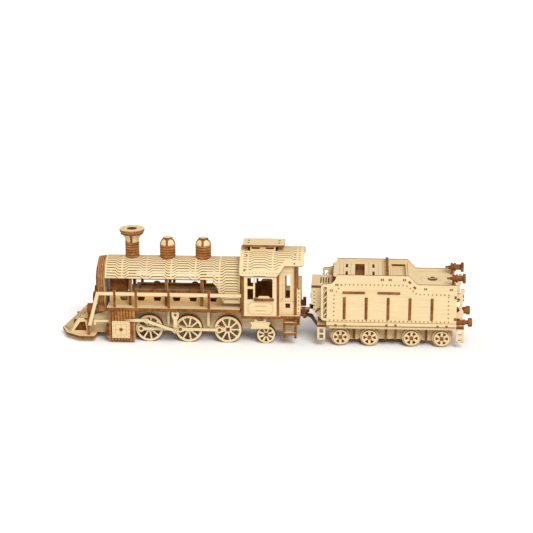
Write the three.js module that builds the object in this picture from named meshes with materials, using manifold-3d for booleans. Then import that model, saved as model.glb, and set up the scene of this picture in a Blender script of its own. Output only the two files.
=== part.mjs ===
// A press-together plywood model of a steam locomotive and its tender, cut from thin sheets.
// Millimetres. X runs along the train with the front toward -X, Y across it, Z up, rails at Z = 0.
import * as THREE from 'three';
import { mergeVertices } from 'three/addons/utils/BufferGeometryUtils.js';
import Module from 'manifold-3d';

const wasm = await Module();
wasm.setup();

// Driving dimensions
const trainFront = -154;
const trainRear = 154;
const pieceGap = 0.2;          // clearance left round a loose tab, pin or neighbour
const sheet = 2;               // main plywood sheet
const thinSheet = 1.2;         // skin and rod sheet

const driver = { radius: 10.5, spokes: 9, facets: 24, x: [-85.8, -56.3, -27] };
const crank = { throw: 6.2, pin: 1.1 };
const truckWheel = { radius: 7.1, spokes: 8, facets: 16, leadingX: -112.4, trailingX: 1.5 };
const tenderWheel = { radius: 7.1, spokes: 6, facets: 16, x: [56.9, 78.5, 109.5, 131.8] };
const wheelWidth = 4;          // spoked layer and backing ring together
const driverFace = 16.1;       // outer face of the locomotive's wheels, from the centre plane
const tenderFace = 18.7;       // outer face of the tender's wheels
const axle = { half: 1.2, hole: 2.1 };

const frame = { inner: 8, front: -129, rear: 26.4, bottom: 9.6 };
const board = { front: -117, rear: -17.6, half: 21, bottom: 25.3, top: 27.7 };
const boiler = { radius: 16.4, centre: 45.6, front: -118.6, rear: -17.8, skirt: 31.2, edge: 49 };
const formerX = [-100, -73, -46.5];
const cab = { front: -14.6, rear: 9.5, floor: 20.9, deck: 22.9, half: 21, sideTop: 53.6 };
const roof = { radius: 23.4, centre: 47.1, front: -18, rear: 29.5, eave: 54.2, step: 61.3 };
const cylinder = { front: -115.6, rear: -95.8, bottom: 1.4, top: 25.1, face: 21 };
const rodLayer = { coupling: [16.4, 17.6], piston: [18.3, 19.4], main: [19.7, 20.8] };
const swing = { x: -66, top: 22.4, bottom: 10.2 };
const hitch = { locoX: 29.8, tenderX: 43.2, pin: 1.2, eye: 3, hole: 1.5 };
const tender = { front: 42.4, rear: 142, half: 22, wall: 1.6, bottom: 16.3, high: 56.2, low: 49.5 };
const tenderFloor = { bottom: 15, top: 17, half: 20 };

// Materials
const paleFace = new THREE.MeshStandardMaterial({ color: 0xf0dfb4, roughness: 0.72, metalness: 0 });
const warmFace = new THREE.MeshStandardMaterial({ color: 0xe3c792, roughness: 0.74, metalness: 0 });
const burntEdge = new THREE.MeshStandardMaterial({ color: 0xa8682f, roughness: 0.8, metalness: 0 });
const burntBlock = new THREE.MeshStandardMaterial({ color: 0x7c4520, roughness: 0.82, metalness: 0 });

// Solids
function toSolid(geometry) {
  const bare = geometry.clone();
  bare.deleteAttribute('normal');
  bare.deleteAttribute('uv');
  const merged = mergeVertices(bare, 1e-4);
  const vertProperties = new Float32Array(merged.attributes.position.array);
  const triVerts = new Uint32Array(merged.index.array);
  return new wasm.Manifold(new wasm.Mesh({ numProp: 3, vertProperties, triVerts }));
}

function toGeometry(solid) {
  const mesh = solid.getMesh();
  const geometry = new THREE.BufferGeometry();
  geometry.setAttribute('position', new THREE.BufferAttribute(new Float32Array(mesh.vertProperties), 3));
  geometry.setIndex(new THREE.BufferAttribute(new Uint32Array(mesh.triVerts), 1));
  geometry.computeVertexNormals();
  return geometry;
}

const join = (...solids) => solids.reduce((whole, piece) => whole.add(piece));
const cut = (solid, ...tools) => tools.reduce((whole, tool) => whole.subtract(tool), solid);

const shapeFrom = (points) => new THREE.Shape(points.map(([u, v]) => new THREE.Vector2(u, v)));

// A sheet's outline is drawn in the plane it lies in and extruded along the remaining axis.
const planeAxes = {
  xz: [new THREE.Vector3(1, 0, 0), new THREE.Vector3(0, 0, 1), new THREE.Vector3(0, -1, 0)],
  yz: [new THREE.Vector3(0, 1, 0), new THREE.Vector3(0, 0, 1), new THREE.Vector3(1, 0, 0)],
  xy: [new THREE.Vector3(1, 0, 0), new THREE.Vector3(0, 1, 0), new THREE.Vector3(0, 0, 1)],
};

function plate(plane, low, high, points, holes = []) {
  const depth = high - low;
  const geometry = new THREE.ExtrudeGeometry(shapeFrom(points), { depth, bevelEnabled: false });
  geometry.applyMatrix4(new THREE.Matrix4().makeBasis(...planeAxes[plane]));
  const start = plane === 'xz' ? [0, high, 0] : plane === 'yz' ? [low, 0, 0] : [0, 0, low];
  geometry.translate(...start);
  return cut(toSolid(geometry), ...holes.map((hole) => plate(plane, low - 1, high + 1, hole)));
}

// A sheet that stands on one side of the centre plane, given by its distances from that plane.
function sidePlate(side, near, far, points, holes = []) {
  const [low, high] = side < 0 ? [-far, -near] : [near, far];
  return plate('xz', low, high, points, holes);
}

function box(x0, x1, y0, y1, z0, z1) {
  const geometry = new THREE.BoxGeometry(x1 - x0, y1 - y0, z1 - z0);
  geometry.translate((x0 + x1) / 2, (y0 + y1) / 2, (z0 + z1) / 2);
  return toSolid(geometry);
}

const sideBox = (side, x0, x1, near, far, z0, z1) =>
  (side < 0 ? box(x0, x1, -far, -near, z0, z1) : box(x0, x1, near, far, z0, z1));

const rect = (u0, u1, v0, v1) => [[u0, v0], [u1, v0], [u1, v1], [u0, v1]];

function arc(u, v, radius, from, to, steps) {
  return Array.from({ length: steps + 1 }, (_, i) => {
    const angle = from + ((to - from) * i) / steps;
    return [u + radius * Math.cos(angle), v + radius * Math.sin(angle)];
  });
}

const circle = (u, v, radius, facets, turn = 0) =>
  arc(u, v, radius, turn, turn + 2 * Math.PI * (1 - 1 / facets), facets - 1);

const sidePin = (side, x, z, radius, near, far, facets = 8) =>
  sidePlate(side, near, far, circle(x, z, radius, facets));

function turned(profile, facets) {
  const geometry = new THREE.LatheGeometry(profile.map(([r, z]) => new THREE.Vector2(r, z)), facets);
  geometry.rotateX(Math.PI / 2);
  return toSolid(geometry);
}

const radians = (degrees) => (degrees * Math.PI) / 180;

// Scene graph
const train = new THREE.Group();
const locomotive = new THREE.Group();
const tenderCar = new THREE.Group();
train.add(locomotive, tenderCar);

function addPiece(parent, name, solid, material) {
  const mesh = new THREE.Mesh(toGeometry(solid), material);
  mesh.name = name;
  parent.add(mesh);
  return mesh;
}

const sides = [['left', -1], ['right', 1]];

// Wheels: a spoked layer outside and a plain backing ring inside, drawn round their own axle.
function spokedWheel(side, wheel, face, driven) {
  const rimInner = wheel.radius * 0.8;
  const hub = wheel.radius * 0.28;
  const spokeHalf = driven ? 0.65 : 0.75;
  const half = Math.PI / wheel.spokes;
  const outer = half - Math.asin(spokeHalf / rimInner);
  const inner = Math.max(half - Math.asin(spokeHalf / hub), 0.05);
  const openings = Array.from({ length: wheel.spokes }, (_, i) => {
    const middle = Math.PI + half * (2 * i + 1);
    return [
      ...arc(0, 0, rimInner, middle - outer, middle + outer, driven ? 2 : 1),
      ...arc(0, 0, hub, middle + inner, middle - inner, 1),
    ];
  });
  const joint = face - wheelWidth / 2;
  const bottomUp = -Math.PI / 2;
  const outline = circle(0, 0, wheel.radius, wheel.facets, bottomUp);
  const ring = circle(0, 0, rimInner + 0.5, 10, bottomUp);
  const solids = [
    sidePlate(side, joint, face, outline, openings),
    sidePlate(side, face - wheelWidth, joint, outline, [ring]),
  ];
  if (driven) {
    solids.push(
      sidePlate(side, joint + 0.2, face - 0.2, rect(-crank.throw, 0, -1.1, 1.1)),
      sidePin(side, -crank.throw, 0, 2, joint + 0.2, face - 0.2, 8),
      sidePin(side, -crank.throw, 0, crank.pin, face - 1, rodLayer.coupling[1] + 0.3, 8),
    );
  }
  return join(...solids);
}

const axleBar = (face) => box(-axle.half, axle.half, -face - 0.15, face + 0.15, -axle.half, axle.half);

function addDrivingWheels(parent, name, x) {
  const group = new THREE.Group();
  group.position.set(x, 0, driver.radius);
  parent.add(group);
  const seat = axle.half + pieceGap;
  const squareHole = box(-seat, seat, -driverFace - 1, driverFace + 1, -seat, seat);
  addPiece(group, `${name}_axle`, axleBar(driverFace), burntEdge);
  for (const [sideName, side] of sides) {
    const wheel = spokedWheel(side, driver, driverFace, true);
    addPiece(group, `${name}_wheel_${sideName}`, cut(wheel, squareHole), warmFace);
  }
}

// Two small wheels glued on their bar, which turn as one piece
function addWheelset(parent, name, wheel, x, face) {
  const group = new THREE.Group();
  group.position.set(x, 0, wheel.radius);
  parent.add(group);
  const wheels = sides.map(([, side]) => spokedWheel(side, wheel, face, false));
  addPiece(group, name, join(axleBar(face), ...wheels), warmFace);
}

// Main frame plates, one each side, pierced for every axle
function framePlate(side) {
  const lobes = [
    { x: truckWheel.leadingX, z: truckWheel.radius, half: 4.4 },
    ...driver.x.map((x) => ({ x, z: driver.radius, half: 4.4 })),
    { x: truckWheel.trailingX, z: truckWheel.radius, half: 4.4 },
  ];
  const bottom = [];
  for (const lobe of lobes) {
    const low = lobe.z - 4;
    bottom.push([lobe.x - lobe.half - 2, frame.bottom], [lobe.x - lobe.half, low]);
    bottom.push([lobe.x + lobe.half, low], [lobe.x + lobe.half + 2, frame.bottom]);
  }
  const outline = [
    [frame.front, frame.bottom], ...bottom, [frame.rear - 2, frame.bottom], [frame.rear - 2, cab.floor - pieceGap],
    [board.rear, cab.floor - pieceGap], [board.rear, board.bottom - pieceGap], [board.front, board.bottom - pieceGap],
    [board.front, 22], [frame.front, 18],
  ];
  const bearings = lobes.map((lobe) => circle(lobe.x, lobe.z, axle.hole, 8, Math.PI / 8));
  const windows = [[-78, -64], [-49, -35], [-104, -92]].map(([x0, x1]) => rect(x0, x1, 21.4, 23.8));
  let solid = sidePlate(side, frame.inner, frame.inner + sheet, outline, [...bearings, ...windows]);
  for (const x of [-71.5, -41.6]) {
    solid = solid.add(sideBox(side, x - 1, x + 1, frame.inner + 1, 14.4, 12, board.bottom - pieceGap));
  }
  return solid;
}

// The box that carries the boiler: two pierced walls under a flat frame, standing between the formers
function boilerBox() {
  const lid = { bottom: 36.6, top: 38.5, half: frame.inner + 1.6 };
  const front = boiler.front + 2.4;
  const rear = boiler.rear - 0.2;
  const windowX = [-105.4, -92.6, -80.3, -65.9, -53.4, -38.5];
  const windows = windowX.map((x) => [[x - 2.2, 29.8], [x + 2.2, 29.8], [x + 3, 32.9], [x - 3, 32.9]]);
  const outline = rect(front, rear, board.top, lid.bottom + 0.1);
  const walls = sides.map(([, side]) =>
    sidePlate(side, frame.inner, frame.inner + 1.5, outline, windows));
  const ends = [front, rear - 2].map((x) =>
    box(x, x + 2, -frame.inner - 0.5, frame.inner + 0.5, board.top, lid.bottom + 0.1));
  const border = rect(front + 3, rear - 3, -frame.inner + 1, frame.inner - 1);
  const flat = plate('xy', lid.bottom, lid.top, rect(front, rear, -lid.half, lid.half), [border]);
  return join(...walls, ...ends, flat);
}

// A horseshoe that holds the skin round: legs stand on the running board outside the box
function boilerFormer(x) {
  const outer = boiler.radius - thinSheet - 0.25;
  const inner = frame.inner + 1.8;
  const outline = [
    [inner, board.top], [outer, board.top], ...arc(0, boiler.centre, outer, 0, Math.PI, 14),
    [-outer, board.top], [-inner, board.top], [-inner, 37.6],
    ...arc(0, boiler.centre - 2, inner, Math.PI, 0, 6), [inner, 37.6],
  ];
  return plate('yz', x - sheet / 2, x + sheet / 2, outline);
}

function smokeboxFront() {
  const steps = [[-118.9, 16.6], [-120.9, 16.6], [-122.8, 16.1], [-124.6, 15]];
  const layers = steps.slice(1).map(([x, radius], i) => {
    const waist = radius - 2.6;
    const outline = [
      [waist, 22.2], [waist, 27], [radius, 31], ...arc(0, boiler.centre - 0.6, radius, 0, Math.PI, 14),
      [-radius, 31], [-waist, 27], [-waist, 22.2],
    ];
    return plate('yz', x, steps[i][0] + 0.01, outline);
  });
  return join(...layers);
}

function smokeboxDoor() {
  const back = -124.8;
  const door = plate('yz', back - 1.2, back, circle(0, 44.4, 11, 20));
  const hub = plate('yz', back - 2.2, back - 1, circle(0, 44.4, 3, 10));
  const lamp = plate('yz', back - 3.6, back, circle(0, 34.4, 4.4, 14));
  return join(door, hub, lamp);
}

// The skin bends over the formers; toward the cab it comes down as the firebox sides.
function boilerSkin() {
  const { radius, centre, front, rear, skirt, edge } = boiler;
  const inner = radius - thinSheet;
  const edgeAngle = Math.asin((edge - centre) / radius);
  const outerArc = arc(0, centre, radius, edgeAngle, Math.PI - edgeAngle, 20);
  const innerArc = arc(0, centre, inner, Math.PI - edgeAngle, edgeAngle, 20);
  const barrel = [...outerArc, ...innerArc];
  const firebox = [
    [radius, skirt], [radius, centre], ...outerArc, [-radius, centre], [-radius, skirt],
    [-inner, skirt], [-inner, centre], ...innerArc, [inner, centre], [inner, skirt],
  ];
  const fireboxFront = -44.7;
  const notchRadius = 11;
  const notch = [
    [fireboxFront - 1, edge + 0.02], [fireboxFront, edge],
    ...arc(fireboxFront, edge - notchRadius, notchRadius, Math.PI / 2, 0, 8).slice(1),
    [-29.2, skirt - 1], [fireboxFront - 1, skirt - 1],
  ];
  const notchTool = plate('xz', -radius - 1, radius + 1, notch);
  const back = cut(plate('yz', fireboxFront, rear, firebox), notchTool);
  return join(plate('yz', front, fireboxFront + 0.01, barrel), back);
}

const saddleTool = () =>
  plate('yz', boiler.front, boiler.rear, circle(0, boiler.centre, boiler.radius + pieceGap + 0.1, 32));

function chimney() {
  const stack = turned([
    [0, 58], [5.25, 58], [5.25, 73.2], [4.7, 74], [5, 77], [6.6, 79.6], [8.4, 79.8], [8.4, 81.3],
    [9.3, 81.3], [9.3, 83.3], [3.9, 83.3], [3.9, 78.5], [0, 78.5],
  ], 16);
  return cut(stack.translate(-99.5, 0, 0), saddleTool());
}

function dome(x) {
  const rise = arc(0.85, 72.2, 5, 0, radians(68), 4);
  const body = turned([[0, 57], [5.85, 57], [5.85, 71.8], ...rise, [0, 77]], 16);
  return cut(body.translate(x, 0, 0), saddleTool());
}

// Cab
function cabSide(side) {
  const outline = [[cab.front, cab.deck + 0.2], [cab.rear, cab.deck + 0.2], [cab.rear, cab.sideTop],
    [cab.front, cab.sideTop]];
  const openings = [rect(-6.4, 6.5, 37.3, 52.4), rect(-12.1, -7.8, 46.1, 52.4), rect(-12.1, -7.8, 35.9, 44.1)];
  const wall = sidePlate(side, 19.4, cab.half, outline, openings);
  const sill = sideBox(side, -7.2, 7.4, 20, 22, 35.1, 37);
  return join(wall, sill);
}

function cabFrontWall() {
  const outer = roof.radius - thinSheet - 0.3;
  const half = 19.2;
  const lift = Math.acos(half / outer);
  const outline = [
    [half, cab.deck + 0.2], ...arc(0, roof.centre, outer, lift, Math.PI - lift, 14), [-half, cab.deck + 0.2],
  ];
  const fireDoor = rect(-5, 5, 31, 41);
  const panes = [[-15.5, -7], [7, 15.5]].map(([u0, u1]) => rect(u0, u1, 46, 53));
  return plate('yz', -17.3, -17.3 + sheet, outline, [fireDoor, ...panes]);
}

function cabRearPanel(side) {
  const top = 61.6;
  const bottom = cab.deck + 0.2;
  const panel = sidePlate(side, 14, 15.5, rect(cab.rear + 0.3, 22.4, bottom, top),
    [rect(15.4, 19.3, 35.6, 53.2), rect(15.8, 19.3, 28, 31.5)]);
  const post = side < 0
    ? plate('yz', 22.3, 24.3, rect(-16.8, -9.6, bottom, top - 0.6))
    : plate('yz', 22.3, 24.3, rect(9.6, 16.8, bottom, top - 0.6));
  const wing = sidePlate(side, 15, 16.2, rect(24.2, 27, bottom, 43.3));
  const backPost = side < 0
    ? plate('yz', 9.8, 11.3, rect(-18.4, -13, bottom, 54))
    : plate('yz', 9.8, 11.3, rect(13, 18.4, bottom, 54));
  return join(panel, post, wing, backPost);
}

function cabFloor() {
  const tongue = hitch.locoX + 3.4;
  const outline = [
    [-17.4, -cab.half], [12.5, -cab.half], [12.5, -19.4], [26.6, -19.4], [26.6, -4], [tongue, -3], [tongue, 3],
    [26.6, 4], [26.6, 19.4], [12.5, 19.4], [12.5, cab.half], [-17.4, cab.half],
  ];
  const pieces = [
    plate('xy', cab.floor, cab.deck, outline),
    plate('yz', 24.6, 26.4, rect(-15, 15, 14.5, cab.floor + 0.1)),
    plate('xy', 15.4, cab.floor + 0.1, circle(hitch.locoX, 0, hitch.pin, 8)),
  ];
  for (const [, side] of sides) {
    const hanger = [[-6.9, 17.8], [-10.2, 17.6], [-9, 15], [-10, 12.3], [4.6, 12.3], [3.6, 15], [4.8, 17.6],
      [1.6, 17.8], [1.6, cab.floor + 0.1], [-0.2, cab.floor + 0.1], [-0.2, 18.4], [-5.2, 18.4],
      [-5.2, cab.floor + 0.1], [-6.9, cab.floor + 0.1]];
    pieces.push(sidePlate(side, 17.4, 18.6, hanger));
    pieces.push(sideBox(side, 26.5, 28.2, 11, 13, 22.8, 25.6));
    pieces.push(sideBox(side, 26.5, 28.2, 10.2, 13.8, 21.4, 22.9));
    pieces.push(sideBox(side, 27.4, 30.4, 10.2, 13.8, 21.4, 27.6));
  }
  return join(...pieces);
}

function cabRoof() {
  const inner = roof.radius - thinSheet;
  const angleAt = (z) => Math.asin((z - roof.centre) / roof.radius);
  const low = angleAt(roof.eave);
  const profile = [
    ...arc(0, roof.centre, roof.radius, low, Math.PI - low, 22),
    ...arc(0, roof.centre, inner, Math.PI - low, low, 22),
  ];
  const notch = [[9.8, roof.eave - 3], [9.8, roof.eave], [15.1, roof.step], [27.8, roof.step],
    [roof.rear + 1, roof.step + 1.6], [roof.rear + 1, roof.eave - 3]];
  return cut(plate('yz', roof.front, roof.rear, profile), plate('xz', -24, 24, notch));
}

function roofVent() {
  const lid = plate('xy', 73, 74.4, rect(-16.4, 14.6, -9, 9));
  const walls = plate('xy', 67, 73.1, rect(-12.2, 9.4, -7, 7), [rect(-10.9, 8.1, -5.7, 5.7)]);
  const slots = [[-9.6, -3.6], [0.8, 6.8]].map(([x0, x1]) => box(x0, x1, -8, 8, 70.9, 72));
  const saddle = plate('yz', roof.front, roof.rear, circle(0, roof.centre, roof.radius + pieceGap + 0.1, 40));
  return cut(join(lid, cut(walls, ...slots)), saddle);
}

// Cylinder block with a square cover, open at the back for the piston rod
function cylinderBlock(side) {
  const { front, rear, bottom, top, face } = cylinder;
  const outer = sideBox(side, front, rear, 16.7, face, bottom, top);
  const inboard = sideBox(side, front, -98.4, frame.inner + sheet + 0.2, 16.8, 16.2, top);
  const cover = sideBox(side, -113.2, -99.9, face - 0.5, face + 0.5, 4.1, 17.4);
  const tailBar = sideBox(side, -127, front + 0.5, 18.4, 19.5, 15.8, 17.7);
  const tailHook = sideBox(side, -127, -125.4, 18.4, 19.5, 13.4, 16);
  const slot = sideBox(side, -107, rear + 1, 18, 19.7, 15.9, 19);
  return join(cut(outer, slot), inboard, cover, tailBar, tailHook);
}

// Hand rail on four posts, with the brace that runs down to the front beam
function handrail(side) {
  const rail = sidePlate(side, 19.6, 20.8, [
    [-15.6, 37.2], [-15.6, 39.8], [-124.6, 39.8], [-131.4, 13.3], [-128.8, 13.3], [-122.6, 37.2],
  ]);
  const posts = [-111, -95, -70.6, -40.7].map((x) => {
    const outline = [[17.2, board.top], [20.4, board.top], [20.9, 33], [20.9, 41], [18.9, 41.4], [17.2, 36]];
    const placed = side < 0 ? outline.map(([y, z]) => [-y, z]).reverse() : outline;
    return plate('yz', x - 0.9, x + 0.9, placed);
  });
  return join(rail, ...posts);
}

// Pilot: pentagon foot, central ridge and two trapezoid side frames
function pilot() {
  const foot = plate('xy', 3.4, 5.2, [
    [trainFront, 0], [-148.6, -13.4], [-138, -21.4], [-129.2, -20], [-129.2, 20], [-138, 21.4], [-148.6, 13.4],
  ]);
  const ridge = plate('xz', -1, 1, [[-153, 5.1], [-132.4, 5.1], [-132.4, 21], [-135.4, 22.2]]);
  const shelf = plate('xy', 15.4, 16.8, [[-139.6, -10], [-132.4, -14.4], [-132.4, 14.4], [-139.6, 10]]);
  const wings = sides.map(([, side]) => sidePlate(side, 11.4, 12.6,
    [[-146, 5.1], [-131.4, 5.1], [-133.4, 16.6], [-139.6, 16.6]],
    [[[-142.2, 7], [-134.6, 7], [-135.8, 14.6], [-138.6, 14.6]]]));
  return join(foot, ridge, shelf, ...wings);
}

function bufferBeam() {
  const beam = plate('yz', -131.2, -129.4, [[-18.6, 6], [18.6, 6], [18.6, 17], [14.4, 19.4], [14.4, 21.2],
    [-14.4, 21.2], [-14.4, 19.4], [-18.6, 17]]);
  const buffers = [-14.6, 14.6].flatMap((y) => [
    plate('yz', -132.2, -128.8, circle(y, 24.6, 4.1, 14)),
    plate('yz', -131.2, -129.4, rect(y - 2, y + 2, 19, 22)),
  ]);
  const clear = sides.map(([, side]) =>
    sideBox(side, -129.5, -128, 6, 12, 0, 30));
  const legs = sides.map(([, side]) => sideBox(side, -131.2, -129.4, 13, 17, 5.4, 6.2));
  return cut(join(beam, ...buffers, ...legs), ...clear);
}

function cabSteps(side) {
  const rails = [14.2, 22.6].map((x) => sideBox(side, x, x + 1.8, 17.6, 20, 5.8, cab.floor - 0.2));
  const treads = [16.8, 8.8].map((z) => sideBox(side, 14.6, 24, 15.6, 21, z, z + 1.5));
  const back = sideBox(side, 15, 23.6, 17.4, 18.4, 18.2, cab.floor - 0.2);
  return join(...rails, ...treads, back);
}

// Rods
function couplingRod(side) {
  const [near, far] = rodLayer.coupling;
  const pins = driver.x.map((x) => x - crank.throw);
  const z = driver.radius;
  const bar = sidePlate(side, near, far, rect(pins[0], pins[2], z - 1.1, z + 1.1));
  const heads = pins.map((x) => sidePlate(side, near, far, [
    ...circle(x, z, 2.8, 6, Math.PI / 6).slice(0, 4), [x + 0.9, z - 3.4], ...circle(x, z, 2.8, 6, Math.PI / 6).slice(4),
  ]));
  const holes = pins.map((x) => sidePin(side, x, z, crank.pin + 0.3, near - 1, far + 1));
  return cut(join(bar, ...heads), ...holes);
}

function pistonRod(side) {
  const [near, far] = rodLayer.piston;
  const rod = sidePlate(side, near, far, [
    [-103.5, 16.3], [-90, 16.3], [-87.6, 15.4], [-84.9, 17.4], [-87.6, 19.6], [-90, 18.6], [-103.5, 18.6],
  ]);
  return join(rod, sidePin(side, -87.2, 17.5, 0.9, far - 0.2, rodLayer.main[1]));
}

function mainRod(side) {
  const [near, far] = rodLayer.main;
  const start = [-87.2, 17.5];
  const end = [swing.x, swing.bottom];
  const slope = Math.atan2(end[1] - start[1], end[0] - start[0]);
  const across = [-Math.sin(slope), Math.cos(slope)];
  const offset = ([u, v], width) => [u + across[0] * width, v + across[1] * width];
  const bar = sidePlate(side, near, far, [offset(start, -1.2), offset(end, -1), offset(end, 1), offset(start, 1.2)]);
  const ends = join(sidePin(side, ...start, 2, near, far), sidePin(side, ...end, 2, near, far));
  const holes = [sidePin(side, ...start, 1.1, near - 1, far + 1), sidePin(side, ...end, 1.3, near - 1, far + 1)];
  return cut(join(bar, ends), ...holes);
}

function swingLink(side) {
  const [near, far] = rodLayer.piston;
  const { x, top, bottom } = swing;
  const outline = [
    [x - 1.3, bottom], [x - 0.9, bottom - 1.5], [x + 0.9, bottom - 1.5], [x + 1.3, bottom], [x + 1.4, top - 4],
    [x + 2.6, top - 1.6], [x + 2.8, top + 1.9], [x + 1.4, top + 2.3], [x, top + 1.7], [x - 1.4, top + 2.3],
    [x - 2.8, top + 1.9], [x - 2.6, top - 1.6], [x - 1.4, top - 4],
  ];
  const link = sidePlate(side, near, far, outline, [circle(x, top - 0.2, 1.2, 8)]);
  return join(link, sidePin(side, x, bottom, 0.9, far - 0.2, rodLayer.main[1]));
}

function runningBoard() {
  const deck = plate('xy', board.bottom, board.top, rect(board.front, board.rear, -board.half, board.half));
  const hangers = sides.map(([, side]) => join(
    sideBox(side, swing.x - 2, swing.x + 2, 15.6, 17.9, swing.top - 2, board.bottom + 0.1),
    sidePin(side, swing.x, swing.top - 0.2, 0.9, 17.5, 19.5),
  ));
  return join(deck, ...hangers);
}

function drawbar() {
  const front = plate('xy', 17, 19, circle(hitch.locoX, 0, hitch.eye, 12));
  const rear = plate('xy', 9.6, 11.6, circle(hitch.tenderX, 0, hitch.eye, 12));
  const arm = plate('xz', -1.2, 1.2, [
    [31.8, 17], [34.6, 15.6], [37, 11.8], [38.6, 9.6], [40.8, 9.6], [40.8, 11.6], [39.4, 11.9], [37.8, 14.2], [35.6, 18.2],
    [32.4, 19], [31.8, 19],
  ]);
  const holes = [hitch.locoX, hitch.tenderX].map((x) => plate('xy', 8, 21, circle(x, 0, hitch.hole, 10)));
  return cut(join(front, rear, arm), ...holes);
}

// Tender
function tenderSide(side) {
  const { front, rear, half, wall, bottom, high, low } = tender;
  const outline = [
    [front, 21], [46.4, 21], [46.4, bottom], [rear, bottom], [rear, low], [113, low], [106.4, high],
    [54, high], [52.9, 52.2], [50, 50], [48.3, 49.2], [front, 48.8],
  ];
  const grip = rect(front + 1.6, 46.6, 22.8, 46.8);
  const skin = sidePlate(side, half - wall, half, outline, [grip]);
  const rail = sideBox(side, 46.4, rear, half - 0.1, half + 0.8, 17.2, 19.8);
  const ribs = [59.5, 75.6, 91.7, 107.7, 123.9].map((x) =>
    sideBox(side, x - 1.2, x + 1.2, half - 0.1, half + 1, 22.4, 39.2));
  const bars = [[58.2, 74.5], [83.8, 100.3]].map(([x0, x1]) =>
    sideBox(side, x0, x1, half - 0.1, half + 1, 41.8, 43.9));
  return join(skin, rail, ...ribs, ...bars);
}

function underframe() {
  const { bottom, top, half } = tenderFloor;
  const skinClear = tender.half - tender.wall - 0.2;
  const ear = 18.2;
  const deck = plate('xy', bottom, top, [[39.6, -half], [148, -half], [148, -ear], [141.2, -ear], [141.2, ear],
    [148, ear], [148, half], [39.6, half]]);
  const bearings = tenderWheel.x.map((x) => circle(x, tenderWheel.radius, axle.hole, 8, Math.PI / 8));
  const outline = [[66, 3.6], [70, 3.6], [71, 4.4], [117, 4.4], [118, 3.6], [122, 3.6], [137.6, 3.6], [140, 6],
    [140, bottom + 0.1], [48.6, bottom + 0.1], [48.6, 6], [51, 3.6]];
  const beams = sides.map(([, side]) => sidePlate(side, 11.2, 12.8, outline, bearings));
  const ties = [67, 90.6, 97.6, 120.4].map((x) => plate('yz', x - 0.9, x + 0.9, rect(-16.6, 16.6, 5, bottom + 0.1)));
  const ladders = sides.flatMap(([, side]) => [39.8, 142.1].map((x) => sidePlate(side, 18.4, half,
    rect(x, x + 5.9, 5, bottom + 0.1), [rect(x + 1.6, x + 4.3, 6.6, 9.4), rect(x + 1.6, x + 4.3, 10.8, 14)])));
  const pin = plate('xy', 8.2, bottom + 0.1, circle(hitch.tenderX, 0, hitch.pin, 8));
  const slots = sides.map(([, side]) => sideBox(side, 46, tender.rear + 0.2, skinClear, half + 1, bottom - 1, top + 1));
  return cut(join(deck, ...beams, ...ties, ...ladders, pin), ...slots);
}

function tenderFrontBox() {
  const floor = tenderFloor.top + pieceGap;
  const sidesShape = [[34.8, 27], [44.4, floor], [49.8, floor], [49.8, 45.4], [34.8, 45.4]];
  const walls = sides.map(([, side]) => sidePlate(side, 12.3, 13.8, sidesShape));
  const front = plate('yz', 34.8, 36.3, rect(-12.5, 12.5, 27, 45.4));
  const slots = [41.2, 43.1, 45, 46.9].map((x) => rect(x, x + 0.9, -7, 7));
  const lid = plate('xy', 43.9, 45.4, rect(34.8, 49.8, -12.5, 12.5), slots);
  const blocks = sides.map(([, side]) => sideBox(side, 33.6, 36.4, 12.4, 13.8, 27.2, 30.6));
  return join(...walls, front, lid, ...blocks);
}

function tenderDeck() {
  const half = tender.half - tender.wall - 0.2;
  const deck = plate('xy', 52.6, 54.1, [[51, -half + 3], [53.4, -half], [106, -half], [106, half],
    [53.4, half], [51, half - 3]], [rect(67, 74.1, -14.2, 14.2),
    ...[60, 79.8].flatMap((x) => [rect(x, x + 1.7, 4.7, 13.8), rect(x, x + 1.7, -13.8, -4.7)]),
    rect(94.2, 104.6, -15, 15)]);
  const frontWall = plate('yz', 50.4, 52, rect(-half, half, tenderFloor.top + pieceGap, 52.7));
  const partition = plate('yz', 89.8, 91.8, rect(-half, half, 46, 58.1));
  const tray = plate('xy', 49.4, 50.6, rect(92.6, 105.6, -16.4, 16.4));
  const trayWalls = plate('xy', 50.5, 52.7, rect(92.6, 105.6, -16.4, 16.4), [rect(94.2, 104.6, -15, 15)]);
  return join(deck, frontWall, partition, tray, trayWalls);
}

function tenderRearDeck() {
  const half = tender.half - tender.wall - 0.2;
  const deck = plate('xy', 45.8, 47.3, rect(112.4, 141.6, -half, half));
  const slope = plate('xz', -half, half, [[106.3, 53.9], [106.3, 52.2], [112.6, 45.8], [113.6, 47.2]]);
  const hatch = plate('xy', 47.2, 48.8, circle(124.7, 0, 3.5, 16), [circle(124.7, 0, 1.7, 8)]);
  const lamps = [-14.5, 14.5].map((y) => {
    const bracket = plate('yz', 138.4, 140.2, rect(y - 1.6, y + 1.6, 47.2, 55.6));
    const barrel = plate('yz', 138.6, 146.4, circle(y, 52.8, 2.4, 10));
    const lens = plate('yz', 146.2, 148.2, circle(y, 52.8, 3.6, 12));
    const collar = plate('yz', 141, 142.4, circle(y, 52.8, 3.1, 12));
    return join(bracket, barrel, lens, collar);
  });
  return join(deck, slope, hatch, ...lamps);
}

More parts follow.
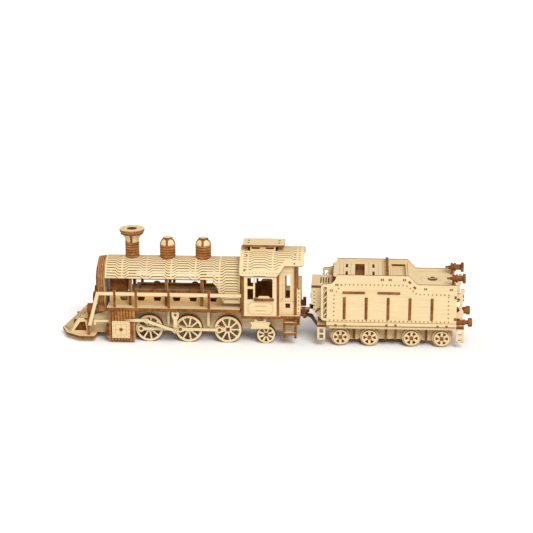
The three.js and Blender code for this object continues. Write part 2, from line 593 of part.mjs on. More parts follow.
function tenderRearWall() {
  const half = tender.half - tender.wall - 0.2;
  const top = 45.6;
  const wall = plate('yz', 139.6, 141.4, rect(-half, half, tenderFloor.top + pieceGap, top));
  const buffers = [-14.5, 14.5].map((y) => join(
    plate('yz', 141.2, 151.2, circle(y, 18.9, 1.6, 8)),
    plate('yz', 141.2, 145, circle(y, 18.9, 2.6, 10)),
    plate('yz', 151, trainRear, circle(y, 18.9, 3.3, 14)),
  ));
  const rails = sides.map(([, side]) => {
    const bracket = [[141.3, 41], [144.6, 42.4], [146.8, 46], [147.8, 43], [146.2, 39], [146.2, 30], [147.4, 26],
      [144, 23.6], [141.3, 25.4], [141.3, 28], [144.2, 28.6], [144.2, 38.8], [141.3, 38.6]];
    return sidePlate(side, 17.6, 18.8, bracket);
  });
  return join(cut(wall, box(138, 143, -3, 3, 20, 23)), ...buffers, ...rails);
}

// Locomotive pieces
for (const [name, side] of sides) {
  addPiece(locomotive, `frame_${name}`, framePlate(side), paleFace);
  addPiece(locomotive, `cab_side_${name}`, cabSide(side), paleFace);
  addPiece(locomotive, `cab_rear_panel_${name}`, cabRearPanel(side), paleFace);
  addPiece(locomotive, `cylinder_${name}`, cylinderBlock(side), burntEdge);
  addPiece(locomotive, `handrail_${name}`, handrail(side), warmFace);
  addPiece(locomotive, `cab_steps_${name}`, cabSteps(side), burntEdge);
  addPiece(locomotive, `coupling_rod_${name}`, couplingRod(side), paleFace);
  addPiece(locomotive, `piston_rod_${name}`, pistonRod(side), paleFace);
  addPiece(locomotive, `main_rod_${name}`, mainRod(side), paleFace);
  addPiece(locomotive, `swing_link_${name}`, swingLink(side), paleFace);
}
addPiece(locomotive, 'running_board', runningBoard(), paleFace);
addPiece(locomotive, 'boiler_box', boilerBox(), paleFace);
addPiece(locomotive, 'smokebox_front', smokeboxFront(), burntEdge);
addPiece(locomotive, 'smokebox_door', smokeboxDoor(), burntBlock);
formerX.forEach((x, i) => addPiece(locomotive, `boiler_former_${i + 1}`, boilerFormer(x), burntEdge));
addPiece(locomotive, 'boiler_skin', boilerSkin(), paleFace);
addPiece(locomotive, 'chimney', chimney(), burntEdge);
addPiece(locomotive, 'front_dome', dome(-73), burntEdge);
addPiece(locomotive, 'rear_dome', dome(-46.3), burntEdge);
addPiece(locomotive, 'cab_front_wall', cabFrontWall(), paleFace);
addPiece(locomotive, 'cab_floor', cabFloor(), burntEdge);
addPiece(locomotive, 'cab_roof', cabRoof(), paleFace);
addPiece(locomotive, 'roof_vent', roofVent(), paleFace);
addPiece(locomotive, 'pilot', pilot(), paleFace);
addPiece(locomotive, 'buffer_beam', bufferBeam(), burntEdge);
driver.x.forEach((x, i) => addDrivingWheels(locomotive, `driver_${i + 1}`, x));
addWheelset(locomotive, 'leading_wheelset', truckWheel, truckWheel.leadingX, driverFace);
addWheelset(locomotive, 'trailing_wheelset', truckWheel, truckWheel.trailingX, driverFace);
addPiece(locomotive, 'drawbar', drawbar(), burntEdge);

// Tender pieces
for (const [name, side] of sides) {
  addPiece(tenderCar, `tender_side_${name}`, tenderSide(side), paleFace);
}
addPiece(tenderCar, 'tender_underframe', underframe(), paleFace);
addPiece(tenderCar, 'tender_front_box', tenderFrontBox(), paleFace);
addPiece(tenderCar, 'tender_deck', tenderDeck(), paleFace);
addPiece(tenderCar, 'tender_rear_deck', tenderRearDeck(), paleFace);
addPiece(tenderCar, 'tender_rear_wall', tenderRearWall(), paleFace);
tenderWheel.x.forEach((x, i) => {
  addWheelset(tenderCar, `tender_wheelset_${i + 1}`, tenderWheel, x, tenderFace);
});

export default train;
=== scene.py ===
import math
import bmesh
import bpy
from mathutils import Matrix, Vector
from mathutils.geometry import tessellate_polygon


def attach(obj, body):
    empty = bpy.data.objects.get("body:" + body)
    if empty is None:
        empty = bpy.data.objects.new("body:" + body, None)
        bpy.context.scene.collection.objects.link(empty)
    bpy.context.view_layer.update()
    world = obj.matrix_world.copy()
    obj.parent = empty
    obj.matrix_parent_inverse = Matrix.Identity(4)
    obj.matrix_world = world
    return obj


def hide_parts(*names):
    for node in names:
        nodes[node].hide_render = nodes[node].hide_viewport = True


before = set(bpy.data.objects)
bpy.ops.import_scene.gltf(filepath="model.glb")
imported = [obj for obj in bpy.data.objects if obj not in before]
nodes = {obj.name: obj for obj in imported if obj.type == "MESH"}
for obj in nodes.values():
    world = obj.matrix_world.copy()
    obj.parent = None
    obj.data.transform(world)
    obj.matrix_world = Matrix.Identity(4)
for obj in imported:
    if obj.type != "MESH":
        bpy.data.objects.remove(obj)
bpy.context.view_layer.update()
mm = 0.001
sides = (("Left", -1), ("Right", 1))
print("frame loaded:", len(nodes), "nodes")


# --- shared finishes

def addNode(tree, kind, spot=(0, 0), **values):
    node = tree.nodes.new(kind)
    node.location = spot
    for key, value in values.items():
        setattr(node, key, value)
    return node


def groupSocket(tree, name, way, kind, value=None):
    socket = tree.interface.new_socket(name=name, in_out=way, socket_type=kind)
    if value is not None:
        socket.default_value = value
    return socket


def mathNode(tree, operation, first, second=None, spot=(0, 0), clamp=False):
    node = addNode(tree, "ShaderNodeMath", spot, operation=operation, use_clamp=clamp)
    for index, value in enumerate((first, second)):
        if value is None:
            continue
        if isinstance(value, (int, float)):
            node.inputs[index].default_value = value
        else:
            tree.links.new(value, node.inputs[index])
    return node.outputs[0]


def mixColour(tree, factor, first, second, spot=(0, 0), blend="MIX"):
    node = addNode(tree, "ShaderNodeMix", spot, data_type="RGBA", blend_type=blend)
    for index, value in ((0, factor), (6, first), (7, second)):
        if isinstance(value, (int, float, tuple)):
            node.inputs[index].default_value = value
        else:
            tree.links.new(value, node.inputs[index])
    return node.outputs[2]


def makeGrainGroup():
    # long thin fibres along one axis, with slow patches of tone over the sheet
    tree = bpy.data.node_groups.new("plyGrain", "ShaderNodeTree")
    groupSocket(tree, "Fibre Scale", "INPUT", "NodeSocketVector", (60.0, 900.0, 900.0))
    groupSocket(tree, "Patch Scale", "INPUT", "NodeSocketFloat", 45.0)
    groupSocket(tree, "Fibres", "OUTPUT", "NodeSocketFloat")
    groupSocket(tree, "Patches", "OUTPUT", "NodeSocketFloat")
    start = addNode(tree, "NodeGroupInput", (-900, 0))
    end = addNode(tree, "NodeGroupOutput", (500, 0))
    place = addNode(tree, "ShaderNodeTexCoord", (-900, -250))
    stretch = addNode(tree, "ShaderNodeVectorMath", (-650, 0), operation="MULTIPLY")
    tree.links.new(place.outputs["Object"], stretch.inputs[0])
    tree.links.new(start.outputs["Fibre Scale"], stretch.inputs[1])
    fine = addNode(tree, "ShaderNodeTexNoise", (-420, 120))
    fine.inputs["Scale"].default_value = 1.0
    fine.inputs["Detail"].default_value = 3.0
    fine.inputs["Roughness"].default_value = 0.6
    fine.inputs["Distortion"].default_value = 0.25
    tree.links.new(stretch.outputs[0], fine.inputs["Vector"])
    shape = addNode(tree, "ShaderNodeMapRange", (-160, 120))
    shape.inputs["From Min"].default_value = 0.36
    shape.inputs["From Max"].default_value = 0.68
    tree.links.new(fine.outputs["Fac"], shape.inputs["Value"])
    slow = addNode(tree, "ShaderNodeTexNoise", (-420, -220))
    slow.inputs["Detail"].default_value = 2.0
    tree.links.new(place.outputs["Object"], slow.inputs["Vector"])
    tree.links.new(start.outputs["Patch Scale"], slow.inputs["Scale"])
    tree.links.new(shape.outputs[0], end.inputs["Fibres"])
    tree.links.new(slow.outputs["Fac"], end.inputs["Patches"])
    return tree


def makeBurnGroup():
    # which parts of a sheet are its pale faces and which are its laser-cut edges, and how deep the burn is
    tree = bpy.data.node_groups.new("laserBurn", "ShaderNodeTree")
    groupSocket(tree, "Sheet Axis", "INPUT", "NodeSocketVector", (0.0, 1.0, 0.0))
    groupSocket(tree, "Streak Scale", "INPUT", "NodeSocketVector", (1400.0, 260.0, 1400.0))
    groupSocket(tree, "Edge", "OUTPUT", "NodeSocketFloat")
    groupSocket(tree, "Depth", "OUTPUT", "NodeSocketFloat")
    start = addNode(tree, "NodeGroupInput", (-900, 0))
    end = addNode(tree, "NodeGroupOutput", (600, 0))
    place = addNode(tree, "ShaderNodeTexCoord", (-900, -250))
    facing = addNode(tree, "ShaderNodeVectorMath", (-650, 100), operation="DOT_PRODUCT")
    tree.links.new(place.outputs["Normal"], facing.inputs[0])
    tree.links.new(start.outputs["Sheet Axis"], facing.inputs[1])
    flat = mathNode(tree, "ABSOLUTE", facing.outputs["Value"], None, (-450, 100))
    edge = mathNode(tree, "LESS_THAN", flat, 0.75, (-250, 100))
    stretch = addNode(tree, "ShaderNodeVectorMath", (-650, -200), operation="MULTIPLY")
    tree.links.new(place.outputs["Object"], stretch.inputs[0])
    tree.links.new(start.outputs["Streak Scale"], stretch.inputs[1])
    streak = addNode(tree, "ShaderNodeTexNoise", (-420, -200))
    streak.inputs["Scale"].default_value = 1.0
    streak.inputs["Detail"].default_value = 2.0
    tree.links.new(stretch.outputs[0], streak.inputs["Vector"])
    patch = addNode(tree, "ShaderNodeTexNoise", (-420, -420))
    patch.inputs["Scale"].default_value = 170.0
    patch.inputs["Detail"].default_value = 1.0
    tree.links.new(place.outputs["Object"], patch.inputs["Vector"])
    both = mathNode(tree, "ADD", streak.outputs["Fac"], patch.outputs["Fac"], (-200, -250))
    deep = addNode(tree, "ShaderNodeMapRange", (50, -250))
    deep.inputs["From Min"].default_value = 0.8
    deep.inputs["From Max"].default_value = 1.3
    tree.links.new(both, deep.inputs["Value"])
    tree.links.new(edge, end.inputs["Edge"])
    tree.links.new(deep.outputs[0], end.inputs["Depth"])
    return tree


grainGroup = makeGrainGroup()
burnGroup = makeBurnGroup()

woodTones = {
    "pale": (0.75, 0.60, 0.355, 1.0),
    "fibre": (0.58, 0.41, 0.20, 1.0),
    "warm": (0.66, 0.48, 0.25, 1.0),
    "burnt": (0.29, 0.103, 0.022, 1.0),
    "charred": (0.10, 0.030, 0.0075, 1.0),
    # gap: the near-black used as painted shade in holes, slits and gaps
    "gap": (0.05, 0.018, 0.006, 1.0),
}


plyLook = {"acrossScale": 900.0, "alongScale": 55.0, "streakScale": 1500.0, "streakAlong": 250.0,
           "fibreShare": 0.42,
           "patchShare": 0.35, "specular": 0.14, "bump": 0.35, "bumpDepth": 0.00006, "smoother": 0.08,
           "rougher": 0.12}


def makePly(name, axis, grain, burnt=None, charred=None, pale=None, cover="faces", roughness=0.62):
    material = bpy.data.materials.new(name)
    material.use_nodes = True
    tree = material.node_tree
    shader = tree.nodes["Principled BSDF"]
    fibre = addNode(tree, "ShaderNodeGroup", (-900, 200), node_tree=grainGroup)
    scale = [plyLook["acrossScale"]] * 3
    scale[grain] = plyLook["alongScale"]
    fibre.inputs["Fibre Scale"].default_value = scale
    burn = addNode(tree, "ShaderNodeGroup", (-900, -200), node_tree=burnGroup)
    across = [0.0, 0.0, 0.0]
    across[axis] = 1.0
    burn.inputs["Sheet Axis"].default_value = across
    streak = [plyLook["streakScale"]] * 3
    streak[axis] = plyLook["streakAlong"]
    burn.inputs["Streak Scale"].default_value = streak
    weaker = mathNode(tree, "MULTIPLY", fibre.outputs["Fibres"], plyLook["fibreShare"], (-750, 300))
    base = mixColour(tree, weaker, pale or woodTones["pale"], woodTones["fibre"], (-600, 300))
    tone = addNode(tree, "ShaderNodeMapRange", (-600, 60))
    tone.inputs["From Min"].default_value = 0.35
    tone.inputs["From Max"].default_value = 0.7
    tone.inputs["To Max"].default_value = plyLook["patchShare"]
    tree.links.new(fibre.outputs["Patches"], tone.inputs["Value"])
    face = mixColour(tree, tone.outputs[0], base, woodTones["warm"], (-380, 250))
    edge = mixColour(tree, burn.outputs["Depth"], burnt or woodTones["burnt"],
                     charred or woodTones["charred"],
                     (-600, -200))
    if cover == "burnt":
        tree.links.new(edge, shader.inputs["Base Color"])
    elif cover == "pale":
        tree.links.new(face, shader.inputs["Base Color"])
    else:
        whole = mixColour(tree, burn.outputs["Edge"], face, edge, (-180, 100))
        tree.links.new(whole, shader.inputs["Base Color"])
    rough = addNode(tree, "ShaderNodeMapRange", (-380, -420))
    rough.inputs["To Min"].default_value = roughness - plyLook["smoother"]
    rough.inputs["To Max"].default_value = roughness + plyLook["rougher"]
    tree.links.new(fibre.outputs["Fibres"], rough.inputs["Value"])
    tree.links.new(rough.outputs[0], shader.inputs["Roughness"])
    bump = addNode(tree, "ShaderNodeBump", (-180, -420))
    bump.inputs["Strength"].default_value = plyLook["bump"]
    bump.inputs["Distance"].default_value = plyLook["bumpDepth"]
    tree.links.new(fibre.outputs["Fibres"], bump.inputs["Height"])
    tree.links.new(bump.outputs[0], shader.inputs["Normal"])
    shader.inputs["Specular IOR Level"].default_value = plyLook["specular"]
    return material


plyX = makePly("plyAcross", 0, 1)
plyY = makePly("plyUpright", 1, 0)
plyZ = makePly("plyFlat", 2, 0)
plySkin = makePly("plySkin", 1, 0, cover="pale")
burntX = makePly("burntAcross", 0, 1, cover="burnt")
burntY = makePly("burntUpright", 1, 0, cover="burnt")
burntZ = makePly("burntFlat", 2, 0, cover="burnt")
tenonBrown = makePly("tenonBrown", 1, 0, burnt=(0.27, 0.098, 0.026, 1.0), charred=(0.09, 0.03, 0.010, 1.0),
                     cover="burnt")
rivetBrown = makePly("rivetBrown", 1, 0, burnt=(0.40, 0.175, 0.055, 1.0), charred=(0.24, 0.09, 0.025, 1.0),
                     cover="burnt")
scorchLine = makePly("scorchLine", 1, 0, burnt=(0.52, 0.28, 0.11, 1.0), charred=(0.34, 0.15, 0.05, 1.0),
                     cover="burnt")
tanTones = {"burnt": (0.42, 0.178, 0.048, 1.0), "charred": (0.19, 0.064, 0.016, 1.0)}
tanX = makePly("tanAcross", 0, 1, cover="burnt", **tanTones)
tanZ = makePly("tanFlat", 2, 0, cover="burnt", **tanTones)
# darker, warmer tan ply: partly painted shade, for the walls under the boiler and the tender wheels' back
# rings
rimPly = makePly("rimPly", 1, 0, pale=(0.70, 0.44, 0.19, 1.0))
shadedPly = makePly("shadedPly", 2, 0, pale=(0.40, 0.22, 0.075, 1.0))
# darker pale ply: painted shade on the pilot's sloped sheets and on the low frame plates beside the buffer
# beam
slopePly = makePly("slopePly", 0, 1, pale=(0.50, 0.37, 0.18, 1.0), cover="pale")
slopeSide = makePly("slopeSide", 1, 0, pale=(0.50, 0.37, 0.18, 1.0))
ribTan = makePly("ribTan", 0, 1, burnt=(0.62, 0.33, 0.13, 1.0), charred=(0.42, 0.19, 0.06, 1.0),
                 cover="burnt")
# painted shade: charred dark brown, for sheets set in holes and gaps where only shade would be
gapDark = makePly("gapDark", 1, 0, burnt=woodTones["charred"], charred=woodTones["gap"], cover="burnt")
plyOf = {"yz": plyX, "xz": plyY, "xy": plyZ}
print("finishes made")


# --- outlines and solids

def rect(u0, u1, v0, v1):
    return [(u0, v0), (u1, v0), (u1, v1), (u0, v1)]


def arc(u, v, radius, start, end, steps):
    return [(u + radius * math.cos(start + (end - start) * i / steps),
             v + radius * math.sin(start + (end - start) * i / steps)) for i in range(steps + 1)]


def circle(u, v, radius, facets=32, turn=0.0):
    return arc(u, v, radius, turn, turn + 2 * math.pi * (1 - 1 / facets), facets - 1)


def roundRect(u0, u1, v0, v1, radius, steps=4):
    quarter = math.pi / 2
    return (arc(u1 - radius, v0 + radius, radius, -quarter, 0, steps)
            + arc(u1 - radius, v1 - radius, radius, 0, quarter, steps)
            + arc(u0 + radius, v1 - radius, radius, quarter, 2 * quarter, steps)
            + arc(u0 + radius, v0 + radius, radius, 2 * quarter, 3 * quarter, steps))


def mirrored(points):
    return [(-u, v) for u, v in reversed(points)]


def span(side, near, far):
    # the low and high y of what lies between two distances from the middle, on one side
    return (-far, -near) if side < 0 else (near, far)


def outward(side):
    return "-y" if side < 0 else "+y"


def squareLine(x, y, z, half):
    corners = ((-half, -half), (half, -half), (half, half), (-half, half), (-half, -half))
    return [(x + u, y, z + v) for u, v in corners]


def inPlane(plane, u, v, w):
    return {"xz": (u, w, v), "yz": (w, u, v), "xy": (u, v, w)}[plane]


class Build:
    # one visible piece: closed solids are gathered here, in millimetres, then made into one mesh
    def __init__(self, name):
        self.name = name
        self.points = []
        self.faces = []
        self.looks = []
        self.smooth = []
        self.materials = []

    def look(self, material):
        if material not in self.materials:
            self.materials.append(material)
        return self.materials.index(material)

    def solid(self, points, faces, material, smooth=False, edgeMaterial=None, edgeFrom=None):
        base = len(self.points)
        self.points += [tuple(p) for p in points]
        index = self.look(material)
        rim = self.look(edgeMaterial) if edgeMaterial else index
        for number, face in enumerate(faces):
            self.faces.append([base + i for i in face])
            self.looks.append(rim if edgeFrom is not None and number >= edgeFrom else index)
            self.smooth.append(smooth)

    def sheet(self, plane, low, high, outline, holes=(), face=None, edge=None, smooth=False):
        loops = [list(outline)] + [list(hole) for hole in holes]
        flat = [p for loop in loops for p in loop]
        count = len(flat)
        points = [inPlane(plane, u, v, low) for u, v in flat] + [inPlane(plane, u, v, high) for u, v in flat]
        fills = tessellate_polygon([[Vector((u, v, 0)) for u, v in loop] for loop in loops])
        faces = [list(t) for t in fills] + [[i + count for i in reversed(t)] for t in fills]
        walls = len(faces)
        start = 0
        for loop in loops:
            size = len(loop)
            for i in range(size):
                a, b = start + i, start + (i + 1) % size
                faces.append([a, b, b + count, a + count])
            start += size
        self.solid(points, faces, face or plyOf[plane], smooth, edge, walls)

    def sideSheet(self, side, near, far, outline, holes=(), face=None, edge=None, smooth=False):
        low, high = span(side, near, far)
        self.sheet("xz", low, high, outline, holes, face, edge, smooth)

    def box(self, x0, x1, y0, y1, z0, z1, material):
        self.sheet("xy", z0, z1, rect(x0, x1, y0, y1), (), material)

    def sideBox(self, side, x0, x1, near, far, z0, z1, material):
        low, high = span(side, near, far)
        self.box(x0, x1, low, high, z0, z1, material)

    def turned(self, axis, centre, profile, material, facets=40, smooth=True):
        # a closed profile of (radius, height) pairs that starts and ends on the axis
        points, faces, rings = [], [], []
        for radius, height in profile:
            ring = []
            for i in range(facets if radius > 1e-6 else 1):
                angle = 2 * math.pi * i / facets
                u, v = radius * math.cos(angle), radius * math.sin(angle)
                ring.append(len(points))
                points.append({"z": (centre[0] + u, centre[1] + v, height),
                               "x": (height, centre[0] + u, centre[1] + v),
                               "y": (centre[0] + u, height, centre[1] + v)}[axis])
            rings.append(ring)
        for low, high in zip(rings, rings[1:]):
            for i in range(facets):
                j = (i + 1) % facets
                corner = [low[i % len(low)], low[j % len(low)], high[j % len(high)], high[i % len(high)]]
                face = [p for k, p in enumerate(corner) if p not in corner[:k]]
                if len(face) > 2:
                    faces.append(face)
        self.solid(points, faces, material, smooth)

    def disc(self, axis, centre, radius, low, high, material, facets=40):
        self.turned(axis, centre, [(0, low), (radius, low), (radius, high), (0, high)], material, facets)

    def absorb(self, mesh, place=None, material=None):
        base = len(self.points)
        place = place or Matrix.Identity(4)
        for vertex in mesh.vertices:
            self.points.append(tuple(place @ vertex.co))
        slots = [self.look(material or m) for m in mesh.materials] or [self.look(material)]
        for polygon in mesh.polygons:
            self.faces.append([base + i for i in polygon.vertices])
            self.looks.append(slots[min(polygon.material_index, len(slots) - 1)])
            self.smooth.append(polygon.use_smooth)

    def finish(self, body, slot, *replaced):
        mesh = bpy.data.meshes.new(self.name)
        mesh.from_pydata([tuple(c * mm for c in p) for p in self.points], [], self.faces)
        for material in self.materials:
            mesh.materials.append(material)
        mesh.polygons.foreach_set("material_index", self.looks)
        mesh.polygons.foreach_set("use_smooth", self.smooth)
        work = bmesh.new()
        work.from_mesh(mesh)
        bmesh.ops.recalc_face_normals(work, faces=work.faces)
        work.to_mesh(mesh)
        work.free()
        mesh.set_sharp_from_angle(angle=math.radians(32))
        piece = bpy.data.objects.new(self.name, mesh)
        bpy.context.scene.collection.objects.link(piece)
        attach(piece, body)
        if replaced:
            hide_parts(*replaced)
        return piece


# --- node trees for what repeats

def geoTree(name, *inputs):
    tree = bpy.data.node_groups.new(name, "GeometryNodeTree")
    groupSocket(tree, "Geometry", "INPUT", "NodeSocketGeometry")
    for label, kind, value in inputs:
        groupSocket(tree, label, "INPUT", kind, value)
    groupSocket(tree, "Geometry", "OUTPUT", "NodeSocketGeometry")
    return tree, addNode(tree, "NodeGroupInput", (-1400, 0)), addNode(tree, "NodeGroupOutput", (1400, 0))


def wire(tree, *pairs):
    for source, target in pairs:
        tree.links.new(source, target)


def closeTree(tree, geometry, material, end, spot=(1000, 0)):
    real = addNode(tree, "GeometryNodeRealizeInstances", spot)
    paint = addNode(tree, "GeometryNodeSetMaterial", (spot[0] + 200, spot[1]))
    wire(tree, (geometry, real.inputs[0]), (real.outputs[0], paint.inputs["Geometry"]),
         (material, paint.inputs["Material"]), (paint.outputs[0], end.inputs[0]))
    return paint


def grow(tree, points, edges=(), faces=(), **settings):
    # runs a node tree once on a small base mesh and keeps the plain result
    base = bpy.data.meshes.new("growBase")
    base.from_pydata([tuple(p) for p in points], list(edges), list(faces))
    thing = bpy.data.objects.new("growBase", base)
    bpy.context.scene.collection.objects.link(thing)
    modifier = thing.modifiers.new("grow", "NODES")
    modifier.node_group = tree
    for item in tree.interface.items_tree:
        key = item.name.replace(" ", "")
        key = key[0].lower() + key[1:]
        if item.in_out == "INPUT" and key in settings:
            modifier[item.identifier] = settings.pop(key)
    if settings:
        raise ValueError(f"{tree.name} has no input for {sorted(settings)}")
    graph = bpy.context.evaluated_depsgraph_get()
    mesh = bpy.data.meshes.new_from_object(thing.evaluated_get(graph), depsgraph=graph)
    bpy.data.objects.remove(thing)
    return mesh


def line(points, closed=False):
    count = len(points)
    return points, [(i, i + 1) for i in range(count - 1)] + ([(count - 1, 0)] if closed else [])


def lines(*runs):
    points, edges = [], []
    for run in runs:
        base = len(points)
        points += run
        edges += [(base + i, base + i + 1) for i in range(len(run) - 1)]
    return points, edges


def makeRivetTree():
    # a row of low rivet heads, evenly spaced along each line
    tree, start, end = geoTree(
        "rivetRows", ("Pitch", "NodeSocketFloat", 3.0), ("Radius", "NodeSocketFloat", 0.6),
        ("Height", "NodeSocketFloat", 0.4), ("Turn", "NodeSocketVector", (0.0, 0.0, 0.0)),
        ("Head", "NodeSocketMaterial", None))
    path = addNode(tree, "GeometryNodeMeshToCurve", (-1100, 0))
    spread = addNode(tree, "GeometryNodeResampleCurve", (-900, 0), mode="LENGTH")
    head = addNode(tree, "GeometryNodeMeshCone", (-900, -250))
    head.inputs["Vertices"].default_value = 8
    narrow = mathNode(tree, "MULTIPLY", start.outputs["Radius"], 0.6, (-1100, -300))
    place = addNode(tree, "GeometryNodeInstanceOnPoints", (-500, 0))
    wire(tree, (start.outputs["Geometry"], path.inputs[0]), (path.outputs[0], spread.inputs["Curve"]),
         (start.outputs["Pitch"], spread.inputs["Length"]), (narrow, head.inputs["Radius Top"]),
         (start.outputs["Radius"], head.inputs["Radius Bottom"]),
         (start.outputs["Height"], head.inputs["Depth"]),
         (spread.outputs[0], place.inputs["Points"]), (head.outputs["Mesh"], place.inputs["Instance"]))
    turn = addNode(tree, "FunctionNodeEulerToRotation", (-900, -500))
    wire(tree, (start.outputs["Turn"], turn.inputs[0]), (turn.outputs[0], place.inputs["Rotation"]))
    closeTree(tree, place.outputs[0], start.outputs["Head"], end)
    return tree


def makeStackTree():
    # the same part again and again, one step apart
    tree, start, end = geoTree(
        "evenStack", ("Count", "NodeSocketInt", 5), ("Step", "NodeSocketVector", (0.0, 0.0, 2.0)),
        ("Wood", "NodeSocketMaterial", None))
    row = addNode(tree, "GeometryNodeMeshLine", (-900, -200))
    place = addNode(tree, "GeometryNodeInstanceOnPoints", (-500, 0))
    wire(tree, (start.outputs["Count"], row.inputs["Count"]), (start.outputs["Step"], row.inputs["Offset"]),
         (row.outputs[0], place.inputs["Points"]), (start.outputs["Geometry"], place.inputs["Instance"]))
    closeTree(tree, place.outputs[0], start.outputs["Wood"], end)
    return tree


def makeGrooveTree():
    # a thin burnt line that follows a drawn path
    tree, start, end = geoTree(
        "burntLine", ("Width", "NodeSocketFloat", 0.3), ("Burn", "NodeSocketMaterial", None))
    path = addNode(tree, "GeometryNodeMeshToCurve", (-1100, 0))
    square = addNode(tree, "GeometryNodeCurvePrimitiveQuadrilateral", (-1100, -250))
    sweep = addNode(tree, "GeometryNodeCurveToMesh", (-600, 0))
    sweep.inputs["Fill Caps"].default_value = True
    wire(tree, (start.outputs["Geometry"], path.inputs[0]), (start.outputs["Width"], square.inputs["Width"]),
         (start.outputs["Width"], square.inputs["Height"]), (path.outputs[0], sweep.inputs["Curve"]),
         (square.outputs[0], sweep.inputs["Profile Curve"]))
    closeTree(tree, sweep.outputs[0], start.outputs["Burn"], end)
    return tree


def makeWheelTree():
    # a disc pierced by one opening turned round the hub as often as there are spokes
    tree, start, end = geoTree(
        "spokedDisc", ("Spokes", "NodeSocketInt", 8), ("Radius", "NodeSocketFloat", 7.0),
        ("Thickness", "NodeSocketFloat", 2.0), ("Facets", "NodeSocketInt", 56),
        ("Wood", "NodeSocketMaterial", None))
    opening = addNode(tree, "GeometryNodeMeshToCurve", (-1200, 0))
    seats = addNode(tree, "GeometryNodeMeshLine", (-1200, -200))
    seats.inputs["Offset"].default_value = (0.0, 0.0, 0.0)
    place = addNode(tree, "GeometryNodeInstanceOnPoints", (-700, 0))
    number = addNode(tree, "GeometryNodeInputIndex", (-1200, -450))
    share = mathNode(tree, "DIVIDE", 2 * math.pi, start.outputs["Spokes"], (-1000, -550))
    angle = mathNode(tree, "MULTIPLY", number.outputs[0], share, (-850, -450))
    turn = addNode(tree, "ShaderNodeCombineXYZ", (-850, -300))
    euler = addNode(tree, "FunctionNodeEulerToRotation", (-700, -300))
    openings = addNode(tree, "GeometryNodeRealizeInstances", (-500, 0))
    rim = addNode(tree, "GeometryNodeCurvePrimitiveCircle", (-700, -600), mode="RADIUS")
    both = addNode(tree, "GeometryNodeJoinGeometry", (-300, 0))
    fill = addNode(tree, "GeometryNodeFillCurve", (-100, 0))
    lift = addNode(tree, "GeometryNodeExtrudeMesh", (150, 100))
    lift.inputs["Individual"].default_value = False
    flip = addNode(tree, "GeometryNodeFlipFaces", (150, -200))
    shut = addNode(tree, "GeometryNodeJoinGeometry", (400, 0))
    weld = addNode(tree, "GeometryNodeMergeByDistance", (600, 0))
    weld.inputs["Distance"].default_value = 0.001
    wire(tree, (start.outputs["Geometry"], opening.inputs[0]),
         (start.outputs["Spokes"], seats.inputs["Count"]),
         (seats.outputs[0], place.inputs["Points"]), (opening.outputs[0], place.inputs["Instance"]),
         (angle, turn.inputs["Z"]), (turn.outputs[0], euler.inputs[0]),
         (euler.outputs[0], place.inputs["Rotation"]),
         (place.outputs[0], openings.inputs[0]), (start.outputs["Facets"], rim.inputs["Resolution"]),
         (start.outputs["Radius"], rim.inputs["Radius"]), (openings.outputs[0], both.inputs[0]),
         (rim.outputs[0], both.inputs[0]), (both.outputs[0], fill.inputs[0]),
         (fill.outputs[0], lift.inputs["Mesh"]),
         (start.outputs["Thickness"], lift.inputs["Offset Scale"]), (fill.outputs[0], flip.inputs[0]),
         (lift.outputs["Mesh"], shut.inputs[0]), (flip.outputs[0], shut.inputs[0]),
         (shut.outputs[0], weld.inputs[0]))
    closeTree(tree, weld.outputs[0], start.outputs["Wood"], end)
    return tree


